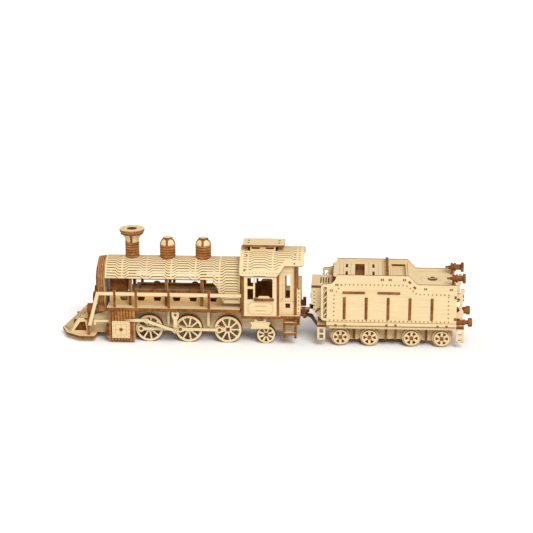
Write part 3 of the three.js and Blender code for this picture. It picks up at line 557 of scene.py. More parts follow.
def makeSkinTree():
    # thin ply bent over a curve: wavy bands with slits between them, joined by short bridges
    tree, start, end = geoTree(
        "waveSkin", ("Bands", "NodeSocketInt", 16), ("Band Pitch", "NodeSocketFloat", 2.5),
        ("Slit Width", "NodeSocketFloat", 0.4), ("Wave Height", "NodeSocketFloat", 1.4),
        ("Wave Length", "NodeSocketFloat", 18.7), ("Wave Start", "NodeSocketFloat", 0.0),
        ("Bridge", "NodeSocketFloat", 2.4), ("Margin", "NodeSocketFloat", 0.8),
        ("Radius", "NodeSocketFloat", 15.2),
        ("Centre Height", "NodeSocketFloat", 45.6), ("Thickness", "NodeSocketFloat", 1.2),
        ("Low Share", "NodeSocketFloat", 0.3), ("Plain Edge", "NodeSocketFloat", 1.0),
        ("Face", "NodeSocketMaterial", None),
        ("Cut", "NodeSocketMaterial", None))
    out = start.outputs

    def calc(operation, first, second=None, clamp=False):
        return mathNode(tree, operation, first, second, (-600, -600), clamp)

    size = addNode(tree, "GeometryNodeAttributeDomainSize", (-1200, 300))
    columns = size.outputs["Point Count"]
    rows = calc("MULTIPLY", out["Bands"], 4)
    lastColumn = calc("SUBTRACT", columns, 1)
    lastRow = calc("SUBTRACT", rows, 1)
    grid = addNode(tree, "GeometryNodeMeshGrid", (-900, 300))
    place = addNode(tree, "GeometryNodeInputPosition", (-1200, -300))
    parts = addNode(tree, "ShaderNodeSeparateXYZ", (-1000, -300))
    wire(tree, (out["Geometry"], size.inputs[0]), (lastColumn, grid.inputs["Size X"]),
         (lastRow, grid.inputs["Size Y"]), (columns, grid.inputs["Vertices X"]),
         (rows, grid.inputs["Vertices Y"]),
         (place.outputs[0], parts.inputs[0]))
    column = calc("ADD", parts.outputs["X"], calc("DIVIDE", lastColumn, 2))
    row = calc("ADD", parts.outputs["Y"], calc("DIVIDE", lastRow, 2))
    edge = addNode(tree, "GeometryNodeSampleIndex", (-700, 0), data_type="FLOAT_VECTOR", domain="POINT")
    wire(tree, (out["Geometry"], edge.inputs["Geometry"]), (place.outputs[0], edge.inputs["Value"]))
    wire(tree, (calc("FLOOR", calc("ADD", column, 0.1)), edge.inputs["Index"]))
    edgeParts = addNode(tree, "ShaderNodeSeparateXYZ", (-500, 0))
    wire(tree, (edge.outputs[0], edgeParts.inputs[0]))
    along, limit = edgeParts.outputs["X"], edgeParts.outputs["Y"]

    # the wave, and the bridges at its low stretches
    phase = calc("FRACT", calc("DIVIDE", calc("SUBTRACT", along, out["Wave Start"]), out["Wave Length"]))
    away = calc("MULTIPLY", calc("ABSOLUTE", calc("SUBTRACT", phase, 0.5)), 2.0)
    wave = calc("MULTIPLY", calc("SUBTRACT", away, out["Low Share"]), 3.85, True)
    bridge = calc("LESS_THAN", calc("MULTIPLY", away, out["Wave Length"]), out["Bridge"])
    inSlit = calc("GREATER_THAN", calc("MODULO", row, 2.0), 1.0)
    fromEnd = calc("MINIMUM", column, calc("SUBTRACT", lastColumn, column))
    inner = calc("GREATER_THAN", fromEnd, out["Margin"])

    # each row's distance from the ridge, moved by the wave and stopped at the lower edge
    whole = calc("ROUND", row)
    band = calc("FLOOR", calc("DIVIDE", whole, 2.0))
    upper = calc("MODULO", whole, 2.0)
    step = calc("MULTIPLY", upper, calc("SUBTRACT", out["Band Pitch"], out["Slit Width"]))
    offset = calc("ADD", calc("MULTIPLY", calc("SUBTRACT", band, out["Bands"]), out["Band Pitch"]),
                  calc("ADD", calc("DIVIDE", out["Slit Width"], 2.0), step))
    sign = calc("SIGN", offset)
    ridge = calc("ABSOLUTE", offset)
    above = calc("LESS_THAN", ridge, calc("SUBTRACT", limit, out["Plain Edge"]))
    gone = calc("MULTIPLY", calc("MULTIPLY", inSlit, inner),
                calc("MULTIPLY", above, calc("SUBTRACT", 1.0, bridge)))
    keep = addNode(tree, "GeometryNodeDeleteGeometry", (-300, 300), domain="FACE")
    wire(tree, (grid.outputs["Mesh"], keep.inputs["Geometry"]), (gone, keep.inputs["Selection"]))
    fade = calc("DIVIDE", ridge, 7.0, True)
    shift = calc("MULTIPLY", calc("MULTIPLY", calc("SUBTRACT", wave, 0.5), out["Wave Height"]), fade)
    reach = calc("MINIMUM", calc("SUBTRACT", ridge, shift), limit)
    quarter = calc("MULTIPLY", out["Radius"], math.pi / 2)
    angle = calc("DIVIDE", calc("MINIMUM", reach, quarter), out["Radius"])
    drop = calc("MAXIMUM", calc("SUBTRACT", reach, quarter), 0.0)
    spot = addNode(tree, "ShaderNodeCombineXYZ", (0, -200))
    wire(tree, (along, spot.inputs["X"]),
         (calc("MULTIPLY", calc("MULTIPLY", calc("SINE", angle), out["Radius"]), sign), spot.inputs["Y"]),
         (calc("SUBTRACT", calc("ADD", calc("MULTIPLY", calc("COSINE", angle), out["Radius"]),
                                out["Centre Height"]), drop), spot.inputs["Z"]))
    bend = addNode(tree, "GeometryNodeSetPosition", (100, 300))
    weld = addNode(tree, "GeometryNodeMergeByDistance", (300, 300))
    weld.inputs["Distance"].default_value = 0.02
    lift = addNode(tree, "GeometryNodeExtrudeMesh", (500, 400))
    lift.inputs["Individual"].default_value = False
    flip = addNode(tree, "GeometryNodeFlipFaces", (500, 100))
    both = addNode(tree, "GeometryNodeJoinGeometry", (700, 300))
    shut = addNode(tree, "GeometryNodeMergeByDistance", (850, 300))
    shut.inputs["Distance"].default_value = 0.001
    wire(tree, (keep.outputs[0], bend.inputs["Geometry"]), (spot.outputs[0], bend.inputs["Position"]),
         (bend.outputs[0], weld.inputs[0]), (weld.outputs[0], lift.inputs["Mesh"]),
         (out["Thickness"], lift.inputs["Offset Scale"]), (weld.outputs[0], flip.inputs[0]),
         (lift.outputs["Mesh"], both.inputs[0]), (flip.outputs[0], both.inputs[0]),
         (both.outputs[0], shut.inputs[0]))
    paint = closeTree(tree, shut.outputs[0], out["Face"], end)
    rim = addNode(tree, "GeometryNodeSetMaterial", (1300, 200))
    wire(tree, (paint.outputs[0], rim.inputs["Geometry"]), (lift.outputs["Side"], rim.inputs["Selection"]),
         (out["Cut"], rim.inputs["Material"]), (rim.outputs[0], end.inputs[0]))
    return tree


rivetTree = makeRivetTree()
stackTree = makeStackTree()
grooveTree = makeGrooveTree()
wheelTree = makeWheelTree()
skinTree = makeSkinTree()
turnOut = {"-y": (math.pi / 2, 0.0, 0.0), "+y": (-math.pi / 2, 0.0, 0.0), "+x": (0.0, math.pi / 2, 0.0),
           "-x": (0.0, -math.pi / 2, 0.0), "+z": (0.0, 0.0, 0.0)}


def addRivets(build, facing, runs, pitch=2.97, radius=0.55, height=0.35, head=None):
    points, edges = lines(*runs)
    turn = turnOut[facing] if isinstance(facing, str) else facing
    build.absorb(grow(rivetTree, points, edges, pitch=pitch, radius=radius, height=height, turn=turn,
                      head=head or rivetBrown))


def addGrooves(build, runs, width=0.3, burn=None):
    points, edges = lines(*runs)
    build.absorb(grow(grooveTree, points, edges, width=width, burn=burn or scorchLine))


def repeat(build, part, count, step, wood):
    # part is a small Build whose solids are repeated
    build.absorb(grow(stackTree, part.points, (), part.faces, count=count, step=step, wood=wood))


print("node trees made")


# --- boiler, chimney and domes

boardTop = 27.7
boiler = {"radius": 16.4, "centre": 45.6, "front": -118.6, "rear": -17.8, "skirt": 31.2, "edge": 49.0,
          "thick": 1.2,
          "pitch": 2.0, "slit": 0.46, "wave": 1.9, "period": 18.2, "start": -115.2, "bridge": 0.9,
          "notchFront": -44.7, "notchRadius": 11.0}


def arcReach(z, radius, centre, thick):
    # distance from the ridge, measured along the inner face, to a height on the outer face
    inner = radius - thick
    if z >= centre:
        return inner * math.acos(min((z - centre) / radius, 1.0))
    return inner * math.pi / 2 + centre - z


def boilerEdge(x):
    side = x - boiler["notchFront"]
    if side < 0:
        return boiler["edge"]
    middle = boiler["edge"] - boiler["notchRadius"]
    if side < boiler["notchRadius"]:
        return middle + math.sqrt(boiler["notchRadius"] ** 2 - side ** 2)
    return max(boiler["skirt"], middle - 1.73 * (side - boiler["notchRadius"]))


def buildBoilerSkin():
    build = Build("boilerSkin")
    length = boiler["rear"] - boiler["front"]
    count = 190
    edge = []
    for i in range(count + 1):
        x = boiler["front"] + length * i / count
        edge.append((x, arcReach(boilerEdge(x), boiler["radius"], boiler["centre"], boiler["thick"]), 0))
    build.absorb(grow(skinTree, edge, (), (), bands=20, bandPitch=boiler["pitch"], slitWidth=boiler["slit"],
                      waveHeight=boiler["wave"], waveLength=boiler["period"], waveStart=boiler["start"],
                      bridge=boiler["bridge"], margin=1.6, radius=boiler["radius"] - boiler["thick"],
                      centreHeight=boiler["centre"], thickness=boiler["thick"], lowShare=0.26, plainEdge=0.8,
                      face=plySkin, cut=tenonBrown))
    build.finish("locomotive", "thin_bent_skin", "boiler_skin")


def ringStack(build, centre, radius, low, count, pitch, facets=40):
    # stacked round plates with light rims, and dark joints where each meets the next
    plate = Build("plate")
    plate.turned("z", centre, [(0, low + 0.7), (radius - 0.15, low + 0.7), (radius, low + 0.85),
                               (radius, low + pitch - 0.15), (radius - 0.15, low + pitch), (0, low + pitch)],
                 tanZ, facets)
    repeat(build, plate, count, (0, 0, pitch), tanZ)
    build.turned("z", centre, [(0, low), (radius - 0.5, low), (radius - 0.5, low + count * pitch - 0.1),
                               (0, low + count * pitch - 0.1)], tenonBrown, facets)


chimneySize = {"x": -99.5, "radius": 5.25, "low": 59.2, "rings": 7, "pitch": 2.0, "neck": 4.5, "flare": 7.4,
               "collar": 8.5, "cap": 9.3}


def buildChimney():
    build = Build("chimneyStack")
    c = chimneySize
    centre = (c["x"], 0)
    ringStack(build, centre, c["radius"], c["low"], c["rings"], c["pitch"])
    base = c["low"] + c["rings"] * c["pitch"]
    profile = [(0, base), (c["neck"], base), (c["neck"], base + 2.6), (c["neck"] + 0.9, base + 4.6),
               (c["flare"] - 0.4, base + 6.4), (0, base + 6.4)]
    build.turned("z", centre, profile, plySkin, 8, False)
    for plane, middle, across in (("xz", 0, c["x"]), ("yz", c["x"], 0)):
        wave = [(0.5, 0.0), (0.9, 0.9), (0.3, 1.9), (0.9, 2.9), (1.5, 3.9), (1.9, 4.5), (3.2, 6.3)]
        fin = [(across + c["neck"] + u, base - 0.1 + v) for u, v in wave]
        fin += [(2 * across - u, v) for u, v in reversed(fin)]
        build.sheet(plane, middle - 0.75, middle + 0.75, fin)
    build.sheet("xy", 79.6, 80.9, circle(c["x"], 0, c["collar"], 48), (), plyZ, burntZ, True)
    build.sheet("xy", 80.9, 81.25, circle(c["x"], 0, c["collar"] - 0.5, 48), (), tenonBrown)
    build.sheet("xy", 81.25, 81.5, circle(c["x"], 0, c["cap"] - 0.25, 48), (), plySkin)
    build.sheet("xy", 81.5, 82.25, circle(c["x"], 0, c["cap"] - 0.1, 48), (), burntZ)
    build.sheet("xy", 82.25, 83.3, circle(c["x"], 0, c["cap"], 48), [circle(c["x"], 0, 3.9, 28)], plyZ, tanZ,
                True)
    # a dark disc down in the bore: painted shade
    build.sheet("xy", 82.2, 82.4, circle(c["x"], 0, 4.2, 28), (), gapDark)
    build.turned("z", centre, [(3.85, 80.9), (4.15, 80.9), (4.15, 83.2), (3.85, 83.2), (3.85, 80.9)], burntZ,
                 28)
    slots = []
    for i in range(8):
        angle = math.pi * (i + 0.5) / 4
        u, v = math.cos(angle), math.sin(angle)
        slots.append([(c["x"] + 5.9 * u, 5.9 * v, 83.19), (c["x"] + 7.4 * u, 7.4 * v, 83.19)])
    addGrooves(build, slots, 0.42, tenonBrown)
    build.finish("locomotive", "burnt_edge_plywood", "chimney")


domeSize = {"radius": 5.85, "low": 57.6, "rings": 7, "pitch": 2.0, "top": 77.0, "shell": 5.35, "disc": 2.4}


def buildDome(name, x, node):
    build = Build(name)
    d = domeSize
    ringStack(build, (x, 0), d["radius"], d["low"], d["rings"], d["pitch"])
    base = d["low"] + d["rings"] * d["pitch"]
    rise = d["top"] - 0.7 - base
    steps = 7
    dome = [(d["shell"] * math.cos(math.pi * 0.41 * i / steps),
             base + rise * math.sin(math.pi * 0.41 * i / steps) / 0.96)
            for i in range(steps + 1)]
    build.turned("z", (x, 0), [(0, base), *dome, (0, dome[-1][1])], plySkin, 40)
    for plane, middle, across in (("xz", 0, x), ("yz", x, 0)):
        out = [(across + r + 0.35, z + 0.15) for r, z in dome]
        back = [(2 * across - u, z) for u, z in reversed(out)]
        build.sheet(plane, middle - 0.8, middle + 0.8,
                    [(across - 5.6, base - 0.1), (across + 5.6, base - 0.1)] + out + back,
                    (), burntY if plane == "xz" else burntX)
    star = []
    for i in range(16):
        angle = 2 * math.pi * i / 16
        reach = 3.9 if i % 2 else 2.7
        star.append((x + reach * math.cos(angle), reach * math.sin(angle)))
    build.sheet("xy", d["top"] - 1.9, d["top"] - 0.6, star, (), burntZ)
    build.sheet("xy", d["top"] - 0.7, d["top"], circle(x, 0, d["disc"] + 0.5, 24))
    build.finish("locomotive", "burnt_edge_plywood", node)


def buildSmokebox():
    # four stacked plates with their burnt rims toward the side, and thin pale veneers between them
    build = Build("smokeboxFront")
    layers = ((-124.6, -123.2, 16.0), (-123.2, -121.8, 16.2), (-121.8, -120.4, 16.4), (-120.4, -118.9, 16.6))
    centre = boiler["centre"] - 0.6

    def outline(radius):
        waist = radius - 2.6
        return [(waist, 22.2), (waist, 27), (radius, 31), *arc(0, centre, radius, 0, math.pi, 36),
                (-radius, 31),
                (-waist, 27), (-waist, 22.2)]

    for x0, x1, radius in layers:
        build.sheet("yz", x0, x1 - 0.62, outline(radius), (), plyX, burntX)
        build.sheet("yz", x1 - 0.62, x1 - 0.16, outline(radius - 0.06), (), plyX, ribTan)
    build.sheet("yz", -124.4, -119.3, outline(15.3), (), tenonBrown)
    build.finish("locomotive", "burnt_edge_plywood", "smokebox_front")


def buildSmokeboxDoor():
    build = Build("smokeboxDoor")
    build.sheet("yz", -126.0, -124.7, circle(0, 44.4, 11, 48))
    build.turned("x", (0, 44.4), [(0, -127.0), (2.6, -127.0), (3.0, -126.7), (3.0, -125.9), (0, -125.9)],
                 burntX)
    for i in range(8):
        angle = math.pi * (i + 0.5) / 4
        build.turned("x", (8.9 * math.cos(angle), 44.4 + 8.9 * math.sin(angle)),
                     [(0, -126.4), (0.4, -126.4), (0.6, -126.1), (0.6, -125.9), (0, -125.9)], tenonBrown, 10)
    for x0, x1, radius in ((-125.5, -124.7, 3.2), (-126.6, -125.4, 4.4), (-128.4, -126.7, 4.1)):
        build.turned("x", (0, 34.4), [(0, x0), (radius - 0.15, x0), (radius, x0 + 0.15), (radius, x1),
                                      (0, x1)], burntX)
    build.disc("x", (0, 34.4), 2.0, -128.4, -128.3, plyX)
    arms = [[(-126.05, -1, 44.4), (-126.05, -8.6, 41.2)], [(-126.05, 1, 44.4), (-126.05, 8.6, 41.2)]]
    addGrooves(build, arms, 0.5, burntX)
    build.finish("locomotive", "burnt_edge_plywood", "smokebox_door")


def buildBoilerBox():
    # two pierced walls under a flat top plate, with small tabs along its far edge
    build = Build("boilerBox")
    front, rear, base = boiler["front"] + 2.4, boiler["rear"] - 0.2, boardTop
    windows = [[(x - 2.2, 29.8), (x + 2.2, 29.8), (x + 3, 32.9), (x - 3, 32.9)]
               for x in (-105.4, -92.6, -80.3, -65.9, -53.4, -38.5)]
    for side in (-1, 1):
        # the walls take the darker tan ply: partly painted shade under the boiler
        build.sideSheet(side, 8, 9.4, rect(front, rear, base, 36.65), windows, rimPly)
        for x in (-82.5, -53.5):
            build.sideBox(side, x - 2.2, x + 2.2, 7.6, 8.9, 38.4, 39.5, tenonBrown)
            build.sideBox(side, x - 1.2, x + 1.2, 7.7, 8.8, 39.4, 40.0, tenonBrown)
    for x in (front, rear - 2):
        build.box(x, x + 2, -7.9, 7.9, base, 36.6, burntX)
    border = rect(-94.5, rear - 3, -7, 7)
    build.sheet("xy", 36.7, 38.5, rect(-97.5, rear, -9.6, 9.6), [border], shadedPly, burntZ)
    build.sheet("xy", 35.4, 36.6, rect(-97.5, rear - 2.2, -7.8, 7.8), (), shadedPly)
    for side in (-1, 1):
        build.sideSheet(side, 5, 6.6, [(-116.1, 36.4), (-102.6, 36.4), (-106.2, 50), (-116.1, 50)], (),
                        burntY)
    build.finish("locomotive", "pale_plywood", "boiler_box")


buildBoilerSkin()
buildBoilerBox()
buildChimney()
buildDome("frontDome", -73, "front_dome")
buildDome("rearDome", -46.3, "rear_dome")
buildSmokebox()
buildSmokeboxDoor()
print("boiler made")


# --- cab

roof = {"radius": 23.4, "centre": 47.1, "front": -18.0, "rear": 29.5, "eave": 54.2, "step": 61.3,
        "thick": 1.2,
        "rise": (9.8, 15.1), "corner": 2.2}


def roofEdge(x):
    low, high = roof["rise"]
    share = min(max((x - low) / (high - low), 0.0), 1.0)
    z = roof["eave"] + (roof["step"] - roof["eave"]) * share
    corner = roof["corner"]
    for inward in (x - roof["front"], roof["rear"] - x):
        if inward < corner:
            z += corner - math.sqrt(max(corner ** 2 - (corner - inward) ** 2, 0.0))
    return z


def buildRoof():
    build = Build("cabRoof")
    count = 120
    edge = []
    for i in range(count + 1):
        x = roof["front"] + (roof["rear"] - roof["front"]) * i / count
        edge.append((x, arcReach(roofEdge(x), roof["radius"], roof["centre"], roof["thick"]), 0))
    build.absorb(grow(skinTree, edge, (), (), bands=14, bandPitch=2.05, slitWidth=0.36, waveHeight=1.6,
                      waveLength=18.2, waveStart=-21.3, bridge=1.2, margin=6.5,
                      radius=roof["radius"] - roof["thick"],
                      centreHeight=roof["centre"], thickness=roof["thick"], lowShare=0.26, plainEdge=4.2,
                      face=plySkin, cut=tenonBrown))
    for side in (-1, 1):
        angle = 1.165
        y = side * roof["radius"] * math.sin(angle) * 0.997
        z = roof["centre"] + roof["radius"] * math.cos(angle) - 0.02
        addRivets(build, (-side * angle, 0.0, 0.0), [[(-15.6, y, z), (9.6, y, z)]], 2.43, 0.42, 0.16)
        for x, angle in ((-14.4, 1.083), (-13.1, 0.54), (22.4, 0.835), (22.7, 0.48)):
            y = side * (roof["radius"] - 0.05) * math.sin(angle)
            z = roof["centre"] + (roof["radius"] - 0.05) * math.cos(angle)
            addRivets(build, (-side * angle, 0.0, 0.0), [[(x, y, z), (x + 0.01, y, z)]], 1.0, 0.75, 0.2,
                      tenonBrown)
    build.finish("locomotive", "thin_bent_skin", "cab_roof")


def buildVent():
    build = Build("roofVent")
    build.sheet("xy", 73, 74.4, rect(-16.4, 14.6, -9, 9))
    for side in (-1, 1):
        slots = [roundRect(x0, x1, 70.8, 72.1, 0.2, 2) for x0, x1 in ((-9.6, -3.6), (0.8, 6.8))]
        build.sideSheet(side, 5.7, 7, rect(-12.2, 9.4, 68.2, 73.05), slots)
        bars = [x0 + 0.75 + 1.15 * k for x0 in (-9.6, 0.8) for k in range(5)]
        for x in bars:
            build.sideBox(side, x - 0.22, x + 0.22, 6.2, 6.8, 70.7, 72.2, tenonBrown)
        # a dark strip behind the slots: painted shade
        build.sideBox(side, -9.7, 6.9, 5.4, 5.8, 70.4, 72.4, gapDark)
    for x in (-12.2, 8.1):
        build.box(x, x + 1.3, -7, 7, 68.2, 73.05, burntX)
    for x in (-12.3, 10.6):
        addRivets(build, "+z", [[(x, -3.1, 74.42), (x, -3.09, 74.42)], [(x, 3.1, 74.42), (x, 3.11, 74.42)]],
                  1.0, 1.0, 0.2, tenonBrown)
    build.finish("locomotive", "pale_plywood", "roof_vent")


def buildCabSide(name, side):
    # wall with its windows, the sill with a pale block on it, and the plate that would carry the name
    build = Build(f"cabSide{name}")
    openings = [rect(-6.4, 6.5, 37.3, 52.4), rect(-12.1, -7.8, 46.1, 52.4), rect(-12.1, -7.8, 35.9, 44.1)]
    build.sideSheet(side, 19.4, 21, rect(-14.6, 9.5, 23.1, 53.6), openings)
    build.sideBox(side, -7.2, 7.4, 20, 22, 35.1, 37, burntY)
    build.sideSheet(side, 20.6, 21.6, [(-4.4, 37), (-4, 38.3), (-3, 38.9), (3.2, 38.9), (4.2, 38.3),
                                       (4.6, 37)])
    build.sideSheet(side, 19.2, 21.25, rect(-16.6, -14.7, 22.9, 53.7), (), burntY)
    build.sideSheet(side, 17.6, 20.4, rect(9.45, 11.0, 23.0, 54.0), (), burntY)
    # a thin dark sheet inside the wall: painted shade for the cab's interior
    build.sideSheet(side, 19.1, 19.38, rect(-14.4, 9.3, 23.3, 53.4), openings, burntY)
    p = {"x0": -11.9, "x1": 7.1, "z0": 24.4, "z1": 34.0, "notch": 1.7}
    quarter = math.pi / 2
    frameLine = (arc(p["x1"], p["z0"], p["notch"], math.pi, quarter, 5)
                 + arc(p["x1"], p["z1"], p["notch"], -quarter, -math.pi, 5)
                 + arc(p["x0"], p["z1"], p["notch"], 0, -quarter, 5)
                 + arc(p["x0"], p["z0"], p["notch"], quarter, 0, 5))
    build.sideSheet(side, 20.9, 21.3, frameLine)
    face = side * 21.26
    small = [(-2.4 + (x + 2.4) * 0.94, face, 29.2 + (z - 29.2) * 0.89) for x, z in frameLine]
    addGrooves(build, [small + [small[0]]], 0.2)
    dashes = [[(-6.4, face, 31.0), (1.8, face, 31.0)], [(-6.0, face, 27.4), (1.6, face, 27.4)]]
    addGrooves(build, dashes, 0.34)
    build.finish("locomotive", "pale_plywood", f"cab_side_{name.lower()}")


def buildCabRear(name, side):
    build = Build(f"cabRear{name}")
    panes = [roundRect(15.4, 19.3, 35.6, 53.2, 0.5, 2), rect(15.8, 19.3, 28, 31.5)]
    build.sideSheet(side, 14, 15.5, rect(9.8, 22.4, 23.1, 61.6), panes)
    # a dark sheet behind the lower pane: painted shade inside the cab
    build.sideSheet(side, 13.5, 13.95, rect(15.0, 20.1, 27.2, 32.3), (), gapDark)
    low, high = span(side, 9.6, 16.8)
    build.sheet("yz", 22.3, 24.3, rect(low, high, 23.1, 61.0), (), None, burntX)
    build.sideSheet(side, 15, 16.2, roundRect(24.2, 27, 23.1, 43.3, 0.5, 2))
    low, high = span(side, 13, 18.4)
    build.sheet("yz", 9.8, 11.3, rect(low, high, 23.1, 54))
    addRivets(build, outward(side), [[(25.6, side * 16.3, 24.6), (25.6, side * 16.3, 43.0)]], 2.9, 0.5, 0.3,
              tenonBrown)
    rows = [[(12.6, side * 15.6, 33.4), (21.4, side * 15.6, 33.4)],
            [(12.6, side * 15.6, 35.0), (13.8, side * 15.6, 35.0)]]
    addRivets(build, outward(side), rows, 1.75, 0.36, 0.2)
    grooves = [[(13.9, side * 15.45, 34.6), (13.9, side * 15.45, 55.6), (20.7, side * 15.45, 55.6),
                (20.7, side * 15.45, 34.6)]]
    addGrooves(build, grooves, 0.2)
    build.finish("locomotive", "pale_plywood", f"cab_rear_panel_{name.lower()}")


def buildCabFloor():
    build = Build("cabFloor")
    outline = [(-17.4, -21), (12.5, -21), (12.5, -19.4), (26.6, -19.4), (26.6, -4), (33.2, -3), (33.2, 3),
               (26.6, 4), (26.6, 19.4), (12.5, 19.4), (12.5, 21), (-17.4, 21)]
    build.sheet("xy", 20.9, 22.9, outline)
    build.sheet("yz", 24.6, 26.4, rect(-15, 15, 14.5, 21), (), None, burntX)
    build.disc("z", (29.8, 0), 1.2, 15.4, 21, burntZ, 20)
    for side in (-1, 1):
        hanger = [(-6.9, 17.8), (-9.6, 17.8), (-10.2, 17.0), (-8.9, 15), (-10, 12.9), (-9.6, 12.3),
                  (4.2, 12.3),
                  (4.6, 12.9), (3.6, 15), (4.8, 17.0), (4.2, 17.8), (1.6, 17.8), (1.6, 21), (-0.2, 21),
                  (-0.2, 18.4), (-5.2, 18.4), (-5.2, 21), (-6.9, 21)]
        build.sideSheet(side, 17.4, 18.6, hanger)
        for x in (-6.05, 0.7):
            build.sideSheet(side, 17.3, 18.7, circle(x, 18.6, 1.15, 16), ())
        build.sideBox(side, 26.5, 30.4, 10.9, 13.1, 22.8, 25.6, tenonBrown)
        build.sideBox(side, 26.5, 28.2, 10.2, 13.8, 21.4, 22.9, burntX)
        build.sideBox(side, 28.0, 30.4, 10.2, 13.8, 21.4, 27.6, tenonBrown)
        addGrooves(build, [[(-16.6, side * 20.92, 21.9), (11.8, side * 20.92, 21.9)]], 0.22, tenonBrown)
    build.finish("locomotive", "burnt_edge_plywood", "cab_floor")


def buildSteps(name, side):
    build = Build(f"cabSteps{name}")
    for x in (14.2, 22.6):
        build.sideBox(side, x, x + 1.8, 17.6, 20, 5.8, 20.7, burntX)
    for z in (16.8, 8.8):
        build.sheet("xy", z, z + 1.5, [(14.6, side * 15.6), (24, side * 15.6), (24, side * 20.4),
                                       (23.4, side * 21),
                                       (15.2, side * 21), (14.6, side * 20.4)])
        build.sideBox(side, 15, 23.6, 17.2, 18.2, z - 1.2, z + 0.2, burntY)
    build.sideBox(side, 15, 23.6, 17.4, 18.4, 18.2, 20.7, burntY)
    build.finish("locomotive", "burnt_edge_plywood", f"cab_steps_{name.lower()}")


buildRoof()
buildVent()
for sideName, side in sides:
    buildCabSide(sideName, side)
    buildCabRear(sideName, side)
    buildSteps(sideName, side)
buildCabFloor()
print("cab made")


# --- running gear

wheelSizes = {"driver": {"radius": 10.5, "disc": 10.1, "spokes": 9, "rim": 8.4, "hub": 2.85, "half": 0.62,
                         "face": 16.1},
              "truck": {"radius": 7.1, "disc": 6.7, "spokes": 8, "rim": 5.4, "hub": 1.9, "half": 0.8,
                        "face": 16.1},
              "tender": {"radius": 7.1, "disc": 5.65, "spokes": 6, "rim": 4.6, "hub": 2.0, "half": 0.95,
                         "face": 18.7}}
driverX = (-85.8, -56.3, -27.0)
tenderWheelX = (56.9, 78.5, 109.5, 131.8)


def wheelOpening(size):
    # one opening, drawn round the hub at zero angle, with its corners eased
    rim, hub = size["rim"], size["hub"]
    half = math.pi / size["spokes"]
    outer = half - math.asin(size["half"] / rim)
    inner = max(half - math.asin(min(size["half"] / hub, 0.99)), 0.06)
    soft = 0.12 * outer
    shape = [(hub * math.cos(-inner), hub * math.sin(-inner)),
             ((rim - 0.5) * math.cos(-outer), (rim - 0.5) * math.sin(-outer))]
    shape += arc(0, 0, rim, -outer + soft, outer - soft, 5)
    shape += [((rim - 0.5) * math.cos(outer), (rim - 0.5) * math.sin(outer)),
              (hub * math.cos(inner), hub * math.sin(inner))]
    return [(u, v, 0) for u, v in shape]


# the tender wheels' back rings take the darker tan ply, partly painted shade behind the front layer
backs = {"driver": burntY, "truck": burntY, "tender": rimPly}


def spokedLayers(kind):
    # the pierced outer layer and the plain ring behind it, both lying flat at height zero
    size = wheelSizes[kind]
    opening, edges = line(wheelOpening(size), True)
    front = grow(wheelTree, opening, edges, spokes=size["spokes"], radius=size["disc"], thickness=1.9,
                 wood=plyY)
    ring, ringEdges = line([(u, v, 0) for u, v in circle(0, 0, size["rim"] + 0.3, 36)], True)
    back = grow(wheelTree, ring, ringEdges, spokes=1, radius=size["radius"] - 0.02, thickness=1.9,
                wood=backs[kind])
    return front, back


wheelMeshes = {kind: spokedLayers(kind) for kind in wheelSizes}


def addWheel(build, kind, x, side, turn):
    size = wheelSizes[kind]
    z = size["radius"]
    front, back = wheelMeshes[kind]
    stand = Matrix.Rotation(math.pi / 2, 4, "X")
    for mesh, near in ((front, size["face"] - 1.9), (back, size["face"] - 3.95)):
        low = side * near if side > 0 else -(near + 1.9)
        place = Matrix.Translation((x, low + 1.9, z)) @ stand @ Matrix.Rotation(turn, 4, "Z")
        build.absorb(mesh, place)
    # a dark ring between the two layers: painted shade behind the spokes
    low, high = span(side, size["face"] - 2.3, size["face"] - 1.8)
    build.turned("y", (x, z), [(size["rim"] + 0.2, low), (size["disc"] - 0.4, low),
                               (size["disc"] - 0.4, high),
                               (size["rim"] + 0.2, high), (size["rim"] + 0.2, low)], gapDark, 40)


def axleEnd(build, x, z, face, side):
    # the square bar's end standing in the hub, with its burnt surround
    low, high = span(side, face - 0.4, face + 0.12)
    build.box(x - 1.15, x + 1.15, low, high, z - 1.15, z + 1.15, burntY)
    addGrooves(build, [squareLine(x, side * (face + 0.04), z, 1.35)], 0.22, tenonBrown)


def buildDriver(number, x):
    build = Build(f"driver{number}Wheels")
    throw = 6.2
    z = wheelSizes["driver"]["radius"]
    for side in (-1, 1):
        addWheel(build, "driver", x, side, math.pi / 9)
        axleEnd(build, x, z, 16.1, side)
        build.sideSheet(side, 14.5, 16.16, [(x - throw, z - 1.3), (x, z - 1.6), (x, z + 1.6),
                                            (x - throw, z + 1.3)])
        build.disc("y", (x - throw, z), 2.4, side * 14.3, side * 16.2, burntY, 24)
        build.turned("y", (x - throw, z), [(0, side * 16.0), (1.1, side * 16.0), (1.1, side * 17.8),
                                           (0.9, side * 17.95), (0, side * 17.95)], tenonBrown, 16)
    build.finish(f"driver_{number}", "wheel_plywood", f"driver_{number}_wheel_left",
                 f"driver_{number}_wheel_right")


def buildWheelset(name, body, node, kind, x):
    build = Build(name)
    size = wheelSizes[kind]
    z = size["radius"]
    face = size["face"]
    for side in (-1, 1):
        addWheel(build, kind, x, side, 0.0)
        axleEnd(build, x, z, face, side)
    build.box(x - 1.2, x + 1.2, -face + 0.5, face - 0.5, z - 1.2, z + 1.2, burntY)
    build.finish(body, "wheel_plywood", node)

